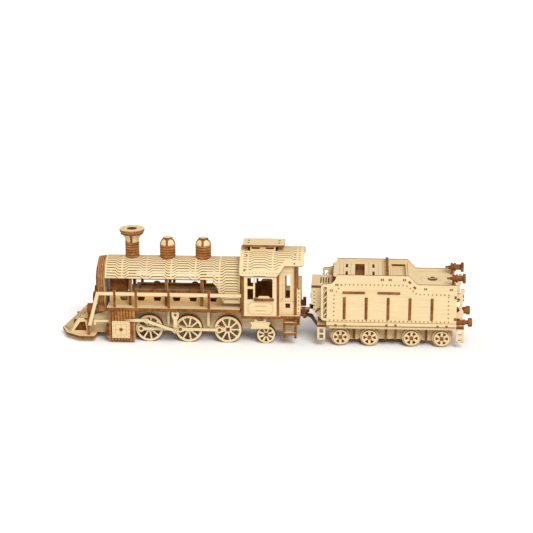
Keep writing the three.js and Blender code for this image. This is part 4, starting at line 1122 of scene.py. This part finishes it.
def buildCylinder(name, side):
    # upright plates side by side, a riveted cover outside and the tail bar that carries the front hook
    build = Build(f"cylinder{name}")
    c = {"front": -115.6, "rear": -95.8, "bottom": 1.4, "top": 25.1, "near": 16.7, "face": 20.9, "plates": 9,
         "gap": 0.7}
    pitch = (c["rear"] - c["front"]) / c["plates"]
    low, high = span(side, c["near"], c["face"])
    plate = Build("plate")
    shape = roundRect(low, high, c["bottom"], c["top"], 0.7, 3)
    plate.sheet("yz", c["front"], c["front"] + pitch - c["gap"], shape)
    repeat(build, plate, 4, (pitch, 0, 0), tanX)
    for k in (4, 5, 6, 7, 8):
        x = c["front"] + pitch * k
        wood = (tanX, tanX) if k < 8 else (plyX, tanX)
        for z0, z1 in ((c["bottom"], 15.7), (19.2, c["top"])):
            build.sheet("yz", x, x + pitch - c["gap"], roundRect(low, high, z0, z1, 0.5, 2), (), *wood)
        build.sideBox(side, x, x + pitch - c["gap"], c["near"], 17.9, 15.6, 19.3, tanX)
        if k < 6:
            build.sideBox(side, x, x + pitch - c["gap"], 19.8, c["face"], 15.6, 19.3, tanX)
    inner, outer = span(side, c["near"] + 0.3, c["face"] - 0.9)
    for z0, z1 in ((c["bottom"] + 1.7, 15.8), (19.2, c["top"] - 1.2)):
        build.box(c["front"] + 0.3, c["rear"] - 0.9, inner, outer, z0, z1, tenonBrown)
    # a dark block showing through the gaps between the front plates: painted shade
    build.sideBox(side, c["front"] + 0.2, -107, c["near"], c["face"] - 0.6, 15.4, 19.5, gapDark)
    build.sideBox(side, c["front"] + 0.1, -98.4, 10.2, 16.8, 16.2, 25.0, burntX)
    cover = {"x0": -113.2, "x1": -99.9, "z0": 4.1, "z1": 17.4}
    build.sideSheet(side, 20.4, 21.42, rect(cover["x0"], cover["x1"], cover["z0"], cover["z1"]))
    face = side * 21.4
    midX, midZ = (cover["x0"] + cover["x1"]) / 2, (cover["z0"] + cover["z1"]) / 2
    reach = 4.2
    cross = [[(midX + u * 1.9, face, midZ + v * 1.9), (midX + u * reach, face, midZ + v * reach)]
             for u, v in ((-1, 0), (1, 0), (0, -1), (0, 1))]
    addGrooves(build, [squareLine(midX, face, midZ, reach)] + cross, 0.26)
    x0, x1, z0, z1 = cover["x0"] + 1.1, cover["x1"] - 1.1, cover["z0"] + 1.1, cover["z1"] - 1.1
    runs = [[(x0, face, z0), (x1, face, z0)], [(x0, face, z1), (x1, face, z1)],
            [(x0, face, z0 + 2.7), (x0, face, z1 - 2.7)], [(x1, face, z0 + 2.7), (x1, face, z1 - 2.7)]]
    addRivets(build, outward(side), runs, 2.7, 0.36, 0.16)
    build.disc("y", (midX, midZ), 1.5, side * 21.2, side * 21.49, rivetBrown, 20)
    build.sideBox(side, midX - 0.8, midX + 0.8, 21.2, 21.5, midZ - 0.8, midZ + 0.8, tenonBrown)
    build.sideSheet(side, 18.4, 19.5, [(-127, 13.4), (-125.4, 13.4), (-125.4, 15.8), (-115.1, 15.8),
                                       (-115.1, 17.7),
                                       (-127, 17.7)])
    build.sideSheet(side, 18.2, 20.2, rect(-118.2, -115.5, 5.2, 12.6), (), burntY)
    build.turned("x", (side * 18.6, 8.9), [(0, -118.6), (2.6, -118.6), (2.9, -118.3), (2.9, -117.3),
                                           (0, -117.3)],
                 tenonBrown, 20)
    build.finish("locomotive", "burnt_edge_plywood", f"cylinder_{name.lower()}")


def buildHandrail(name, side):
    build = Build(f"handrail{name}")
    build.sideSheet(side, 19.6, 20.8, [(-15.6, 37.2), (-15.6, 39.8), (-124.6, 39.8), (-131.4, 13.3),
                                       (-128.8, 13.3),
                                       (-122.6, 37.2)])
    for x in (-111, -95, -70.6, -40.7):
        shape = [(17.2, boardTop), (20.4, boardTop), (20.9, 33), (20.9, 41), (20.2, 41.4), (19.0, 41.2),
                 (17.2, 36)]
        build.sheet("yz", x - 0.9, x + 0.9, shape if side > 0 else mirrored(shape), (), None, burntX)
    build.finish("locomotive", "pale_plywood", f"handrail_{name.lower()}")


def buildPilot():
    build = Build("pilot")
    foot = [(-154, 0), (-148.6, -13.4), (-138, -21.4), (-126.8, -21.4), (-126, -18), (-126, 18),
            (-126.8, 21.4),
            (-138, 21.4), (-148.6, 13.4)]
    build.sheet("xy", 3.4, 5.2, foot)
    inner = [(-150.6, 0, 5.15), (-146.6, -11.6, 5.15), (-137.4, -18.6, 5.15), (-131, -17.6, 5.15)]
    addGrooves(build, [inner, [(x, -y, z) for x, y, z in inner]], 0.26)
    build.sheet("xz", -1, 1, [(-153, 5.1), (-132.4, 5.1), (-132.4, 21), (-135.4, 22.2)])
    build.sheet("xy", 15.4, 16.8, [(-139.6, -10), (-132.4, -14.4), (-132.4, 14.4), (-139.6, 10)])
    for side in (-1, 1):
        wing = [(-146, 5.1), (-131.4, 5.1), (-133.4, 16.6), (-139.6, 16.6)]
        hole = [(-143.2, 6.5), (-133.8, 6.5), (-134.8, 13.4), (-138.4, 13.4)]
        build.sideSheet(side, 11.4, 12.6, wing, [hole])
        build.sideBox(side, -144, -133.4, 8.6, 9.4, 5.1, 14.2, burntY)
        # the sloped sheet is darker pale ply: painted shade, as it faces away from the light
        sheetPoints = [(-152.4, side * 1.0, 5.6), (-146.4, side * 11.3, 5.6), (-139.4, side * 11.3, 15.6),
                       (-135.9, side * 1.0, 21.2)]
        thick = [(x + 0.9, y, z - 0.9) for x, y, z in sheetPoints]
        faces = [[0, 1, 2, 3], [7, 6, 5, 4], [0, 4, 5, 1], [1, 5, 6, 2], [2, 6, 7, 3], [3, 7, 4, 0]]
        build.solid(sheetPoints + thick, faces, slopePly)
        ribs = []
        for share in (0.25, 0.5, 0.75):
            low = [sheetPoints[0][k] + (sheetPoints[1][k] - sheetPoints[0][k]) * share for k in range(3)]
            high = [sheetPoints[3][k] + (sheetPoints[2][k] - sheetPoints[3][k]) * share for k in range(3)]
            ribs.append([(low[0] - 0.02, low[1], low[2] + 0.02), (high[0] - 0.02, high[1], high[2] + 0.02)])
        addGrooves(build, ribs, 0.5, tenonBrown)
    build.finish("locomotive", "pale_plywood", "pilot")


def buildBufferBeam():
    build = Build("bufferBeam")
    beam = [(-18.6, 6), (18.6, 6), (18.6, 17), (14.4, 19.4), (14.4, 21.2), (-14.4, 21.2), (-14.4, 19.4),
            (-18.6, 17)]
    build.sheet("yz", -132.2, -130.4, beam, (), None, burntX)
    for side in (-1, 1):
        y = side * 14.6
        build.turned("x", (y, 24.6), [(0, -132.2), (3.8, -132.2), (4.1, -131.9), (4.1, -130.7), (0, -130.7)],
                     burntX)
        build.disc("x", (y, 24.6), 4.1, -130.4, -128.8, burntX)
        # a thin dark disc between buffer head and beam: painted shade
        build.disc("x", (y, 24.6), 3.6, -130.8, -130.3, gapDark)
        build.box(-132.1, -130.5, y - 2, y + 2, 18.4, 22, burntX)
        build.sideBox(side, -132.1, -130.5, 16.4, 18.9, 5.4, 17, burntX)
        # the low frame plates are darker pale ply: painted shade
        build.sideSheet(side, 9.7, 11.1, [(-130.4, 5.0), (-119.4, 5.0), (-118.4, 14.2), (-130.4, 14.2)], (),
                        slopeSide)
    build.finish("locomotive", "burnt_edge_plywood", "buffer_beam")


for index, x in enumerate(driverX):
    buildDriver(index + 1, x)
buildWheelset("leadingWheels", "leading_wheels", "leading_wheelset", "truck", -112.4)
buildWheelset("trailingWheels", "trailing_wheels", "trailing_wheelset", "truck", 1.5)
for index, x in enumerate(tenderWheelX):
    buildWheelset(f"tenderWheels{index + 1}", f"tender_wheels_{index + 1}", f"tender_wheelset_{index + 1}",
                  "tender", x)
for sideName, side in sides:
    buildCylinder(sideName, side)
    buildHandrail(sideName, side)
buildPilot()
buildBufferBeam()
print("running gear made")


# --- tender

tender = {"front": 42.4, "rear": 142.0, "half": 22.0, "wall": 1.6, "bottom": 16.3, "high": 56.2, "low": 49.5,
          "inside": 20.2, "rivetPitch": 2.97}


def halfRound(build, side, x0, x1, z0, z1, near, far, material):
    # a strip with a rounded face, standing on the tender's side
    upright = z1 - z0 > x1 - x0
    steps = 6
    shape = arc(0, 0, 1, 0, math.pi, steps)
    middle = (x0 + x1) / 2 if upright else (z0 + z1) / 2
    half = (x1 - x0) / 2 if upright else (z1 - z0) / 2
    outline = [(middle + half * u, side * (near + (far - near) * v)) for u, v in shape]
    if upright:
        build.sheet("xy", z0, z1, outline, (), material)
    else:
        build.sheet("yz", x0, x1, [(v, u) for u, v in outline], (), material)


def buildTenderSide(name, side):
    build = Build(f"tenderSide{name}")
    t = tender
    outline = [(t["front"] + 1.2, 21), (46.4, 21), (46.4, t["bottom"]), (t["rear"], t["bottom"]),
               (t["rear"], t["low"]),
               (114.2, t["low"]), *arc(114.2, t["low"] + 2.6, 2.6, -math.pi / 2, -2.36, 3)[1:],
               (106.8, 55.9), (106.2, t["high"]), (54.2, t["high"]), (53.4, 55.0), (53.0, 53.4), (51.9, 51.4),
               (50.3, 50.0), (48.3, 49.2), (t["front"] + 1.2, 48.8), (t["front"], 47.6), (t["front"], 22.2)]
    grip = roundRect(t["front"] + 1.6, 46.6, 22.8, 46.8, 0.5, 2)
    near, far = t["half"] - t["wall"], t["half"]
    build.sideSheet(side, near, far, outline, [grip])
    for x in (59.5, 75.6, 91.7, 107.7, 123.9):
        halfRound(build, side, x - 1.1, x + 1.1, 22.4, 39.2, far - 0.1, far + 0.95, burntY)
    for x0, x1 in ((58.2, 74.5), (83.8, 100.3)):
        halfRound(build, side, x0, x1, 41.9, 43.8, far - 0.1, far + 0.95, burntY)
    rail = [(far - 0.1, 17.3), (far + 0.35, 17.3), (far + 0.7, 17.8), (far + 0.8, 18.5), (far + 0.7, 19.2),
            (far + 0.35, 19.75), (far - 0.1, 19.75)]
    rail = [(side * y, z) for y, z in rail]
    build.sheet("yz", 46.5, t["rear"] - 0.1, rail, (), plySkin)
    build.sideBox(side, 46.5, t["rear"] - 0.2, far - 0.05, far + 0.32, 16.8, 17.25, burntY)
    build.sideBox(side, 46.5, t["rear"] - 0.2, far - 0.05, far + 0.2, 19.8, 20.1, rivetBrown)
    face = side * (far - 0.02)
    slope = [(57.2, 48.9), (104.6, 49.0), (107.4, 47.2), (111.6, 43.0), (113.4, 42.2), (136.0, 42.2)]
    bottom = [(48.8, 21.2), (136.4, 21.2)]
    front = [(51.8, 24.9), (51.8, 40.2), (54.4, 44.8), (57.0, 48.6)]
    rear = [(136.0, 24.4), (136.0, 40.4)]
    flat = [[(x, face, z) for x, z in run] for run in (slope, bottom, front, rear)]
    addRivets(build, outward(side), flat, t["rivetPitch"], 0.62, 0.26)
    # the square ends of the inner sheets that show through the side
    tabs = [(87.1, 53.1, "level"), (92.8, 53.1, "level"), (103.3, 53.2, "level"), (107.2, 51.3, "sloped"),
            (110.9, 47.4, "sloped"), (118.9, 46.4, "level"), (137.7, 46.2, "level"), (140.9, 40.2, "upright"),
            (141.0, 23.4, "upright"), (53.9, 48.6, "level"), (49.9, 44.2, "level")]
    for x, z, stand in tabs:
        halfX, halfZ = (0.85, 1.15) if stand == "upright" else (1.15, 0.85)
        angle = -0.75 if stand == "sloped" else 0.0
        corners = rect(-halfX, halfX, -halfZ, halfZ)
        turned = [(x + u * math.cos(angle) - v * math.sin(angle),
                   z + u * math.sin(angle) + v * math.cos(angle))
                  for u, v in corners]
        build.sideSheet(side, far - 0.4, far + 0.04, turned, (), tenonBrown)
        if stand == "level":
            slit = [(x + u * 0.18, z + v * 0.9) for u, v in corners]
            build.sideSheet(side, far - 0.4, far + 0.07, slit, (), plyY)
    for x, z in ((53.2, 17.6), (59.9, 17.6), (90.8, 18.2), (97.4, 18.3), (128.3, 17.9), (134.9, 18.1)):
        build.sideSheet(side, far, far + 0.86, rect(x - 0.85, x + 0.85, z - 0.8, z + 0.8), (), burntY)
    # a toothed strip below the base rail
    count = 82
    step = (t["rear"] - 48.6) / count
    tooth = Build("tooth")
    tooth.sideSheet(side, far - 1.3, far - 0.1, [(48.6, 16.6), (48.6, 15.4), (48.6 + step / 2, 14.7),
                                                 (48.6 + step - 0.12, 15.4), (48.6 + step - 0.12, 16.6)])
    repeat(build, tooth, count, (step, 0, 0), plyY)
    # thin bars across the hand hold
    for z in (24.4, 28.9, 33.4, 37.9, 42.4):
        bar = [(44.2, z - 0.6), (46.4, z + 1.7), (46.4, z + 2.7), (44.2, z + 0.4)]
        build.sideSheet(side, near + 0.3, far - 0.2, bar)
    for z0, z1 in ((23.6, 26.0), (31.0, 35.6), (39.8, 42.8)):
        build.sideSheet(side, near - 1.6, near, rect(45.2, 47.6, z0, z1), (), burntY)
    build.finish("tender", "pale_plywood", f"tender_side_{name.lower()}")


def buildUnderframe():
    build = Build("tenderUnderframe")
    inside = tender["inside"]
    build.sheet("xy", 15, 17, [(39.6, -20), (46, -20), (46, -inside), (141.2, -inside), (141.2, -18.2),
                               (148, -18.2),
                               (148, 18.2), (141.2, 18.2), (141.2, inside), (46, inside), (46, 20),
                               (39.6, 20)])
    for side in (-1, 1):
        outline = [(66, 3.6), (70, 3.6), (71, 4.4), (117, 4.4), (118, 3.6), (122, 3.6), (137.6, 3.6),
                   (140, 6),
                   (140, 15.1), (48.6, 15.1), (48.6, 6), (51, 3.6)]
        holes = [circle(x, 7.1, 2.1, 16) for x in tenderWheelX]
        build.sideSheet(side, 11.2, 12.8, outline, holes)
        for x in (39.8, 142.1):
            ladder = roundRect(x, x + 5.9, 5.0, 15.1, 0.4, 2)
            rungs = [rect(x + 1.5, x + 4.4, z0, z1) for z0, z1 in ((6.4, 9.3), (10.7, 14.0))]
            build.sideSheet(side, 18.4, 20, ladder, rungs)
            for foot in (x + 0.2, x + 4.2):
                build.sideSheet(side, 18.4, 20, rect(foot, foot + 1.5, 4.6, 5.4))
    for x in (67, 90.6, 97.6, 120.4):
        build.sheet("yz", x - 0.9, x + 0.9, roundRect(-16.6, 16.6, 5, 15.1, 0.6, 2), (), None, burntX)
        for side in (-1, 1):
            build.sideBox(side, x - 0.9, x + 0.9, 16.0, 17.0, 5.0, 13.0, burntX)
    build.disc("z", (43.2, 0), 1.2, 8.2, 15.1, burntZ, 20)
    build.finish("tender", "pale_plywood", "tender_underframe")


def buildFrontBox():
    build = Build("tenderFrontBox")
    for side in (-1, 1):
        build.sideSheet(side, 12.3, 13.8, [(34.8, 27), (44.4, 17.2), (49.8, 17.2), (49.8, 43.85),
                                           (34.8, 43.85)])
        build.sideBox(side, 33.6, 36.4, 12.4, 13.8, 27.2, 30.6, burntY)
        addRivets(build, outward(side), [[(37.0, side * 13.85, 26.9), (37.0, side * 13.85, 40.6)]], 2.7, 0.5,
                  0.24, tenonBrown)
        addGrooves(build, [[(34.9, side * 13.8, 43.6), (49.6, side * 13.8, 43.6)]], 0.3, burntY)
        bar = [(38.4, 24.6), (41.6, 27.2), (41.0, 28.2), (37.8, 25.6)]
        build.sideSheet(side, 13.7, 14.9, bar, (), burntY)
    build.sheet("yz", 35.0, 36.3, rect(-12.2, 12.2, 27, 43.8))
    slots = [rect(x, x + 0.9, -7, 7) for x in (41.2, 43.1, 45, 46.9)]
    build.sheet("xy", 43.9, 45.4, rect(34.8, 49.8, -13.8, 13.8), slots)
    # a dark sheet under the lid's slots: painted shade
    build.box(40.6, 48.4, -7.6, 7.6, 43.4, 43.8, gapDark)
    build.finish("tender", "pale_plywood", "tender_front_box")


def buildTenderDeck():
    build = Build("tenderDeck")
    half = tender["inside"]
    slots = [rect(x, x + 1.7, s0, s1) for x in (60, 79.8) for s0, s1 in ((4.7, 13.8), (-13.8, -4.7))]
    hatch = rect(67, 74.1, -14.2, 14.2)
    tray = rect(94.2, 104.6, -15, 15)
    build.sheet("xy", 52.6, 54.1, [(51, -half + 3), (53.4, -half), (106, -half), (106, half), (53.4, half),
                                   (51, half - 3)], [hatch, *slots, tray])
    build.sheet("yz", 50.4, 52, rect(-half, half, 17.2, 52.7))
    build.sheet("yz", 89.8, 91.8, roundRect(-half, half, 46, 58.1, 0.6, 2), (), None, burntX)
    build.sheet("xy", 49.4, 50.6, rect(92.6, 105.6, -16.4, 16.4))
    build.sheet("xy", 50.65, 52.55, rect(92.6, 105.6, -16.4, 16.4), [tray], None, plySkin)
    build.box(66.4, 74.6, -14.8, 14.8, 50.2, 50.5, tenonBrown)
    build.sheet("xy", 50.4, 52.65, rect(66.0, 75.1, -15.2, 15.2), [hatch], tenonBrown)
    # dark sheets under the slots: painted shade
    for x in (60, 79.8):
        for y in (-9.25, 9.25):
            build.box(x - 0.2, x + 1.9, y - 4.8, y + 4.8, 52.0, 52.3, gapDark)
    for x in (55.4, 58.4, 63.9, 77.2, 84.2, 87.4):
        addGrooves(build, [[(x, -18.4, 54.0), (x, 18.4, 54.0)]], 0.26)
    edge = [(93.3, -15.9), (105.5, -15.9), (105.5, 15.9), (93.3, 15.9), (93.3, -15.9)]
    addGrooves(build, [[(x, y, 54.0) for x, y in edge]], 0.26)
    build.finish("tender", "pale_plywood", "tender_deck")


def buildRearDeck():
    build = Build("tenderRearDeck")
    half = tender["inside"]
    build.sheet("xy", 45.8, 47.3, rect(112.4, 141.6, -half, half))
    build.sheet("xz", -half, half, [(106.3, 53.9), (106.3, 52.2), (112.6, 45.8), (113.6, 47.2)], (), plySkin)
    build.turned("z", (124.7, 0), [(1.7, 47.2), (3.5, 47.2), (3.5, 48.3), (3.2, 48.8), (2.0, 48.8),
                                   (1.7, 48.4), (1.7, 47.2)],
                 burntZ, 36)
    build.sheet("xy", 48.7, 48.84, circle(124.7, 0, 3.15, 36), [circle(124.7, 0, 1.9, 24)])
    # a dark disc inside the ring: painted shade
    build.disc("z", (124.7, 0), 1.75, 47.25, 47.4, gapDark, 24)
    for side in (-1, 1):
        y = side * 14.5
        build.sheet("yz", 138.4, 140.2, roundRect(y - 1.6, y + 1.6, 47.2, 55.6, 0.4, 2), (), None, burntX)
        build.turned("x", (y, 52.8), [(0, 136.9), (1.2, 136.9), (1.2, 138.6), (2.4, 138.6), (2.4, 140.9),
                                      (0, 140.9)], burntX,
                     24)
        build.turned("x", (y, 52.8), [(0, 141), (3.0, 141), (3.1, 141.2), (3.1, 142.4), (0, 142.4)],
                     tenonBrown, 28)
        build.disc("x", (y, 52.8), 2.1, 142.4, 146.2, burntX, 24)
        build.turned("x", (y, 52.8), [(0, 146.2), (3.3, 146.2), (3.6, 146.5), (3.6, 148.2), (0, 148.2)],
                     burntX, 28)
        build.disc("x", (y, 52.8), 0.8, 134.6, 136.9, burntX, 16)
        frameLine = [(138.0, side * 18.6, 47.2), (114.6, side * 18.6, 47.2)]
        addGrooves(build, [frameLine], 0.24)
    swirl = []
    for radius, x0, start, end in ((9.0, 124.7, 2.2, 4.1), (12.0, 124.7, -0.9, 0.9), (6.0, 124.7, -0.8, 0.8)):
        swirl.append([(x, y, 47.2) for x, y in arc(x0, 0, radius, start, end, 14)])
    addGrooves(build, swirl, 0.24)
    dots = []
    for k in range(5):
        x = 107.5 + k * 1.2
        z = 53.05 - (x - 106.6) * 0.95
        dots.append([(x, -17.5, z + 0.35), (x, 17.5, z + 0.35)])
    addRivets(build, (0.0, 0.74, 0.0), dots, 2.5, 0.22, 0.1, scorchLine)
    build.finish("tender", "pale_plywood", "tender_rear_deck")


def buildRearWall():
    build = Build("tenderRearWall")
    half = tender["inside"]
    build.sheet("yz", 139.6, 141.4, rect(-half, half, 17.2, 45.6), [rect(-3, 3, 20, 23)])
    for side in (-1, 1):
        y = side * 14.5
        build.turned("x", (y, 18.9), [(0, 141.2), (2.4, 141.2), (2.6, 141.4), (2.6, 144.6), (2.3, 145.0),
                                      (0, 145.0)], burntX, 28)
        build.disc("x", (y, 18.9), 1.6, 145, 151.2, burntX, 24)
        build.disc("x", (y, 18.9), 2.2, 147.4, 148.8, tenonBrown, 24)
        build.turned("x", (y, 18.9), [(0, 151), (3.0, 151), (3.3, 151.3), (3.3, 153.6), (3.0, 154),
                                      (0, 154)], burntX, 32)
        build.turned("x", (y, 28.4), [(0, 141.2), (1.5, 141.2), (1.5, 146.4), (2.4, 147.0), (2.6, 149.2),
                                      (0, 149.2)], burntX,
                     24)
        bracket = [(141.3, 41), (142.6, 42.0), (144.6, 42.4), (145.2, 44.2), (145.0, 45.6), (146.8, 46),
                   (147.8, 44.6),
                   (147.2, 42.4), (146.2, 40.6), (147.2, 38.4), (146.0, 36.4), (146.8, 33.6), (145.8, 31.2),
                   (147.2, 28.6),
                   (147.4, 26.4), (146.0, 24.2), (144, 23.6), (142.4, 24.2), (141.3, 25.4), (141.3, 28),
                   (143.2, 28.0),
                   (144.4, 29.4), (143.6, 31.4), (144.6, 33.6), (143.8, 36.2), (144.6, 38.0), (143.2, 38.9),
                   (141.3, 38.6)]
        build.sideSheet(side, 17.6, 18.8, bracket)
    build.finish("tender", "pale_plywood", "tender_rear_wall")


for sideName, side in sides:
    buildTenderSide(sideName, side)
buildUnderframe()
buildFrontBox()
buildTenderDeck()
buildRearDeck()
buildRearWall()
print("tender made")


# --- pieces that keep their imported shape

kept = {"frame_left": plyY, "frame_right": plyY, "running_board": plyZ,
        "boiler_former_1": plyX, "boiler_former_2": plyX, "boiler_former_3": plyX, "cab_front_wall": plyX,
        "coupling_rod_left": plyY, "coupling_rod_right": plyY, "piston_rod_left": plyY,
        "piston_rod_right": plyY,
        "main_rod_left": plyY, "main_rod_right": plyY, "swing_link_left": plyY, "swing_link_right": plyY,
        "driver_1_axle": burntY, "driver_2_axle": burntY, "driver_3_axle": burntY, "drawbar": burntY}
for name, material in kept.items():
    mesh = nodes[name].data
    mesh.materials.clear()
    mesh.materials.append(material)
print("packed pieces finished")


# --- floor, lights and camera

studio = {"floor": 8.0, "centre": (0.0009, 0.0, 0.0552), "distance": 1.3, "azimuth": 3.2, "elevation": 16.9,
          "lens": 117.6, "sky": 0.62}


def addFloor():
    half = studio["floor"] / 2
    mesh = bpy.data.meshes.new("studioFloor")
    mesh.from_pydata([(-half, -half, 0), (half, -half, 0), (half, half, 0), (-half, half, 0)], [],
                     [(0, 1, 2, 3)])
    floor = bpy.data.objects.new("studioFloor", mesh)
    bpy.context.scene.collection.objects.link(floor)
    material = bpy.data.materials.new("paleFloor")
    material.use_nodes = True
    shader = material.node_tree.nodes["Principled BSDF"]
    shader.inputs["Base Color"].default_value = (0.93, 0.93, 0.925, 1.0)
    shader.inputs["Roughness"].default_value = 0.9
    shader.inputs["Specular IOR Level"].default_value = 0.1
    mesh.materials.append(material)


def addSun(name, strength, spread, spot, colour):
    light = bpy.data.lights.new(name, "SUN")
    light.energy = strength
    light.angle = math.radians(spread)
    light.color = colour
    lamp = bpy.data.objects.new(name, light)
    lamp.location = spot
    lamp.rotation_euler = Vector(spot).to_track_quat("Z", "Y").to_euler()
    bpy.context.scene.collection.objects.link(lamp)


def addCamera():
    azimuth, elevation = math.radians(studio["azimuth"]), math.radians(studio["elevation"])
    back = Vector((math.sin(azimuth) * math.cos(elevation), -math.cos(azimuth) * math.cos(elevation),
                   math.sin(elevation)))
    data = bpy.data.cameras.new("camera")
    data.lens = studio["lens"]
    data.sensor_width = 36.0
    data.clip_end = 20.0
    camera = bpy.data.objects.new("camera", data)
    camera.location = Vector(studio["centre"]) + back * studio["distance"]
    camera.rotation_euler = back.to_track_quat("Z", "Y").to_euler()
    bpy.context.scene.collection.objects.link(camera)
    bpy.context.scene.camera = camera


def addWorld():
    world = bpy.data.worlds.new("studioSky")
    world.use_nodes = True
    world.node_tree.nodes["Background"].inputs["Color"].default_value = (1.0, 0.995, 0.985, 1.0)
    world.node_tree.nodes["Background"].inputs["Strength"].default_value = studio["sky"]
    bpy.context.scene.world = world


addFloor()
addWorld()
addSun("keyLight", 2.5, 32.0, (0.5, -1.15, 1.3), (1.0, 0.99, 0.97))
addCamera()
bpy.context.scene.view_settings.view_transform = "Standard"

print("scene ready")
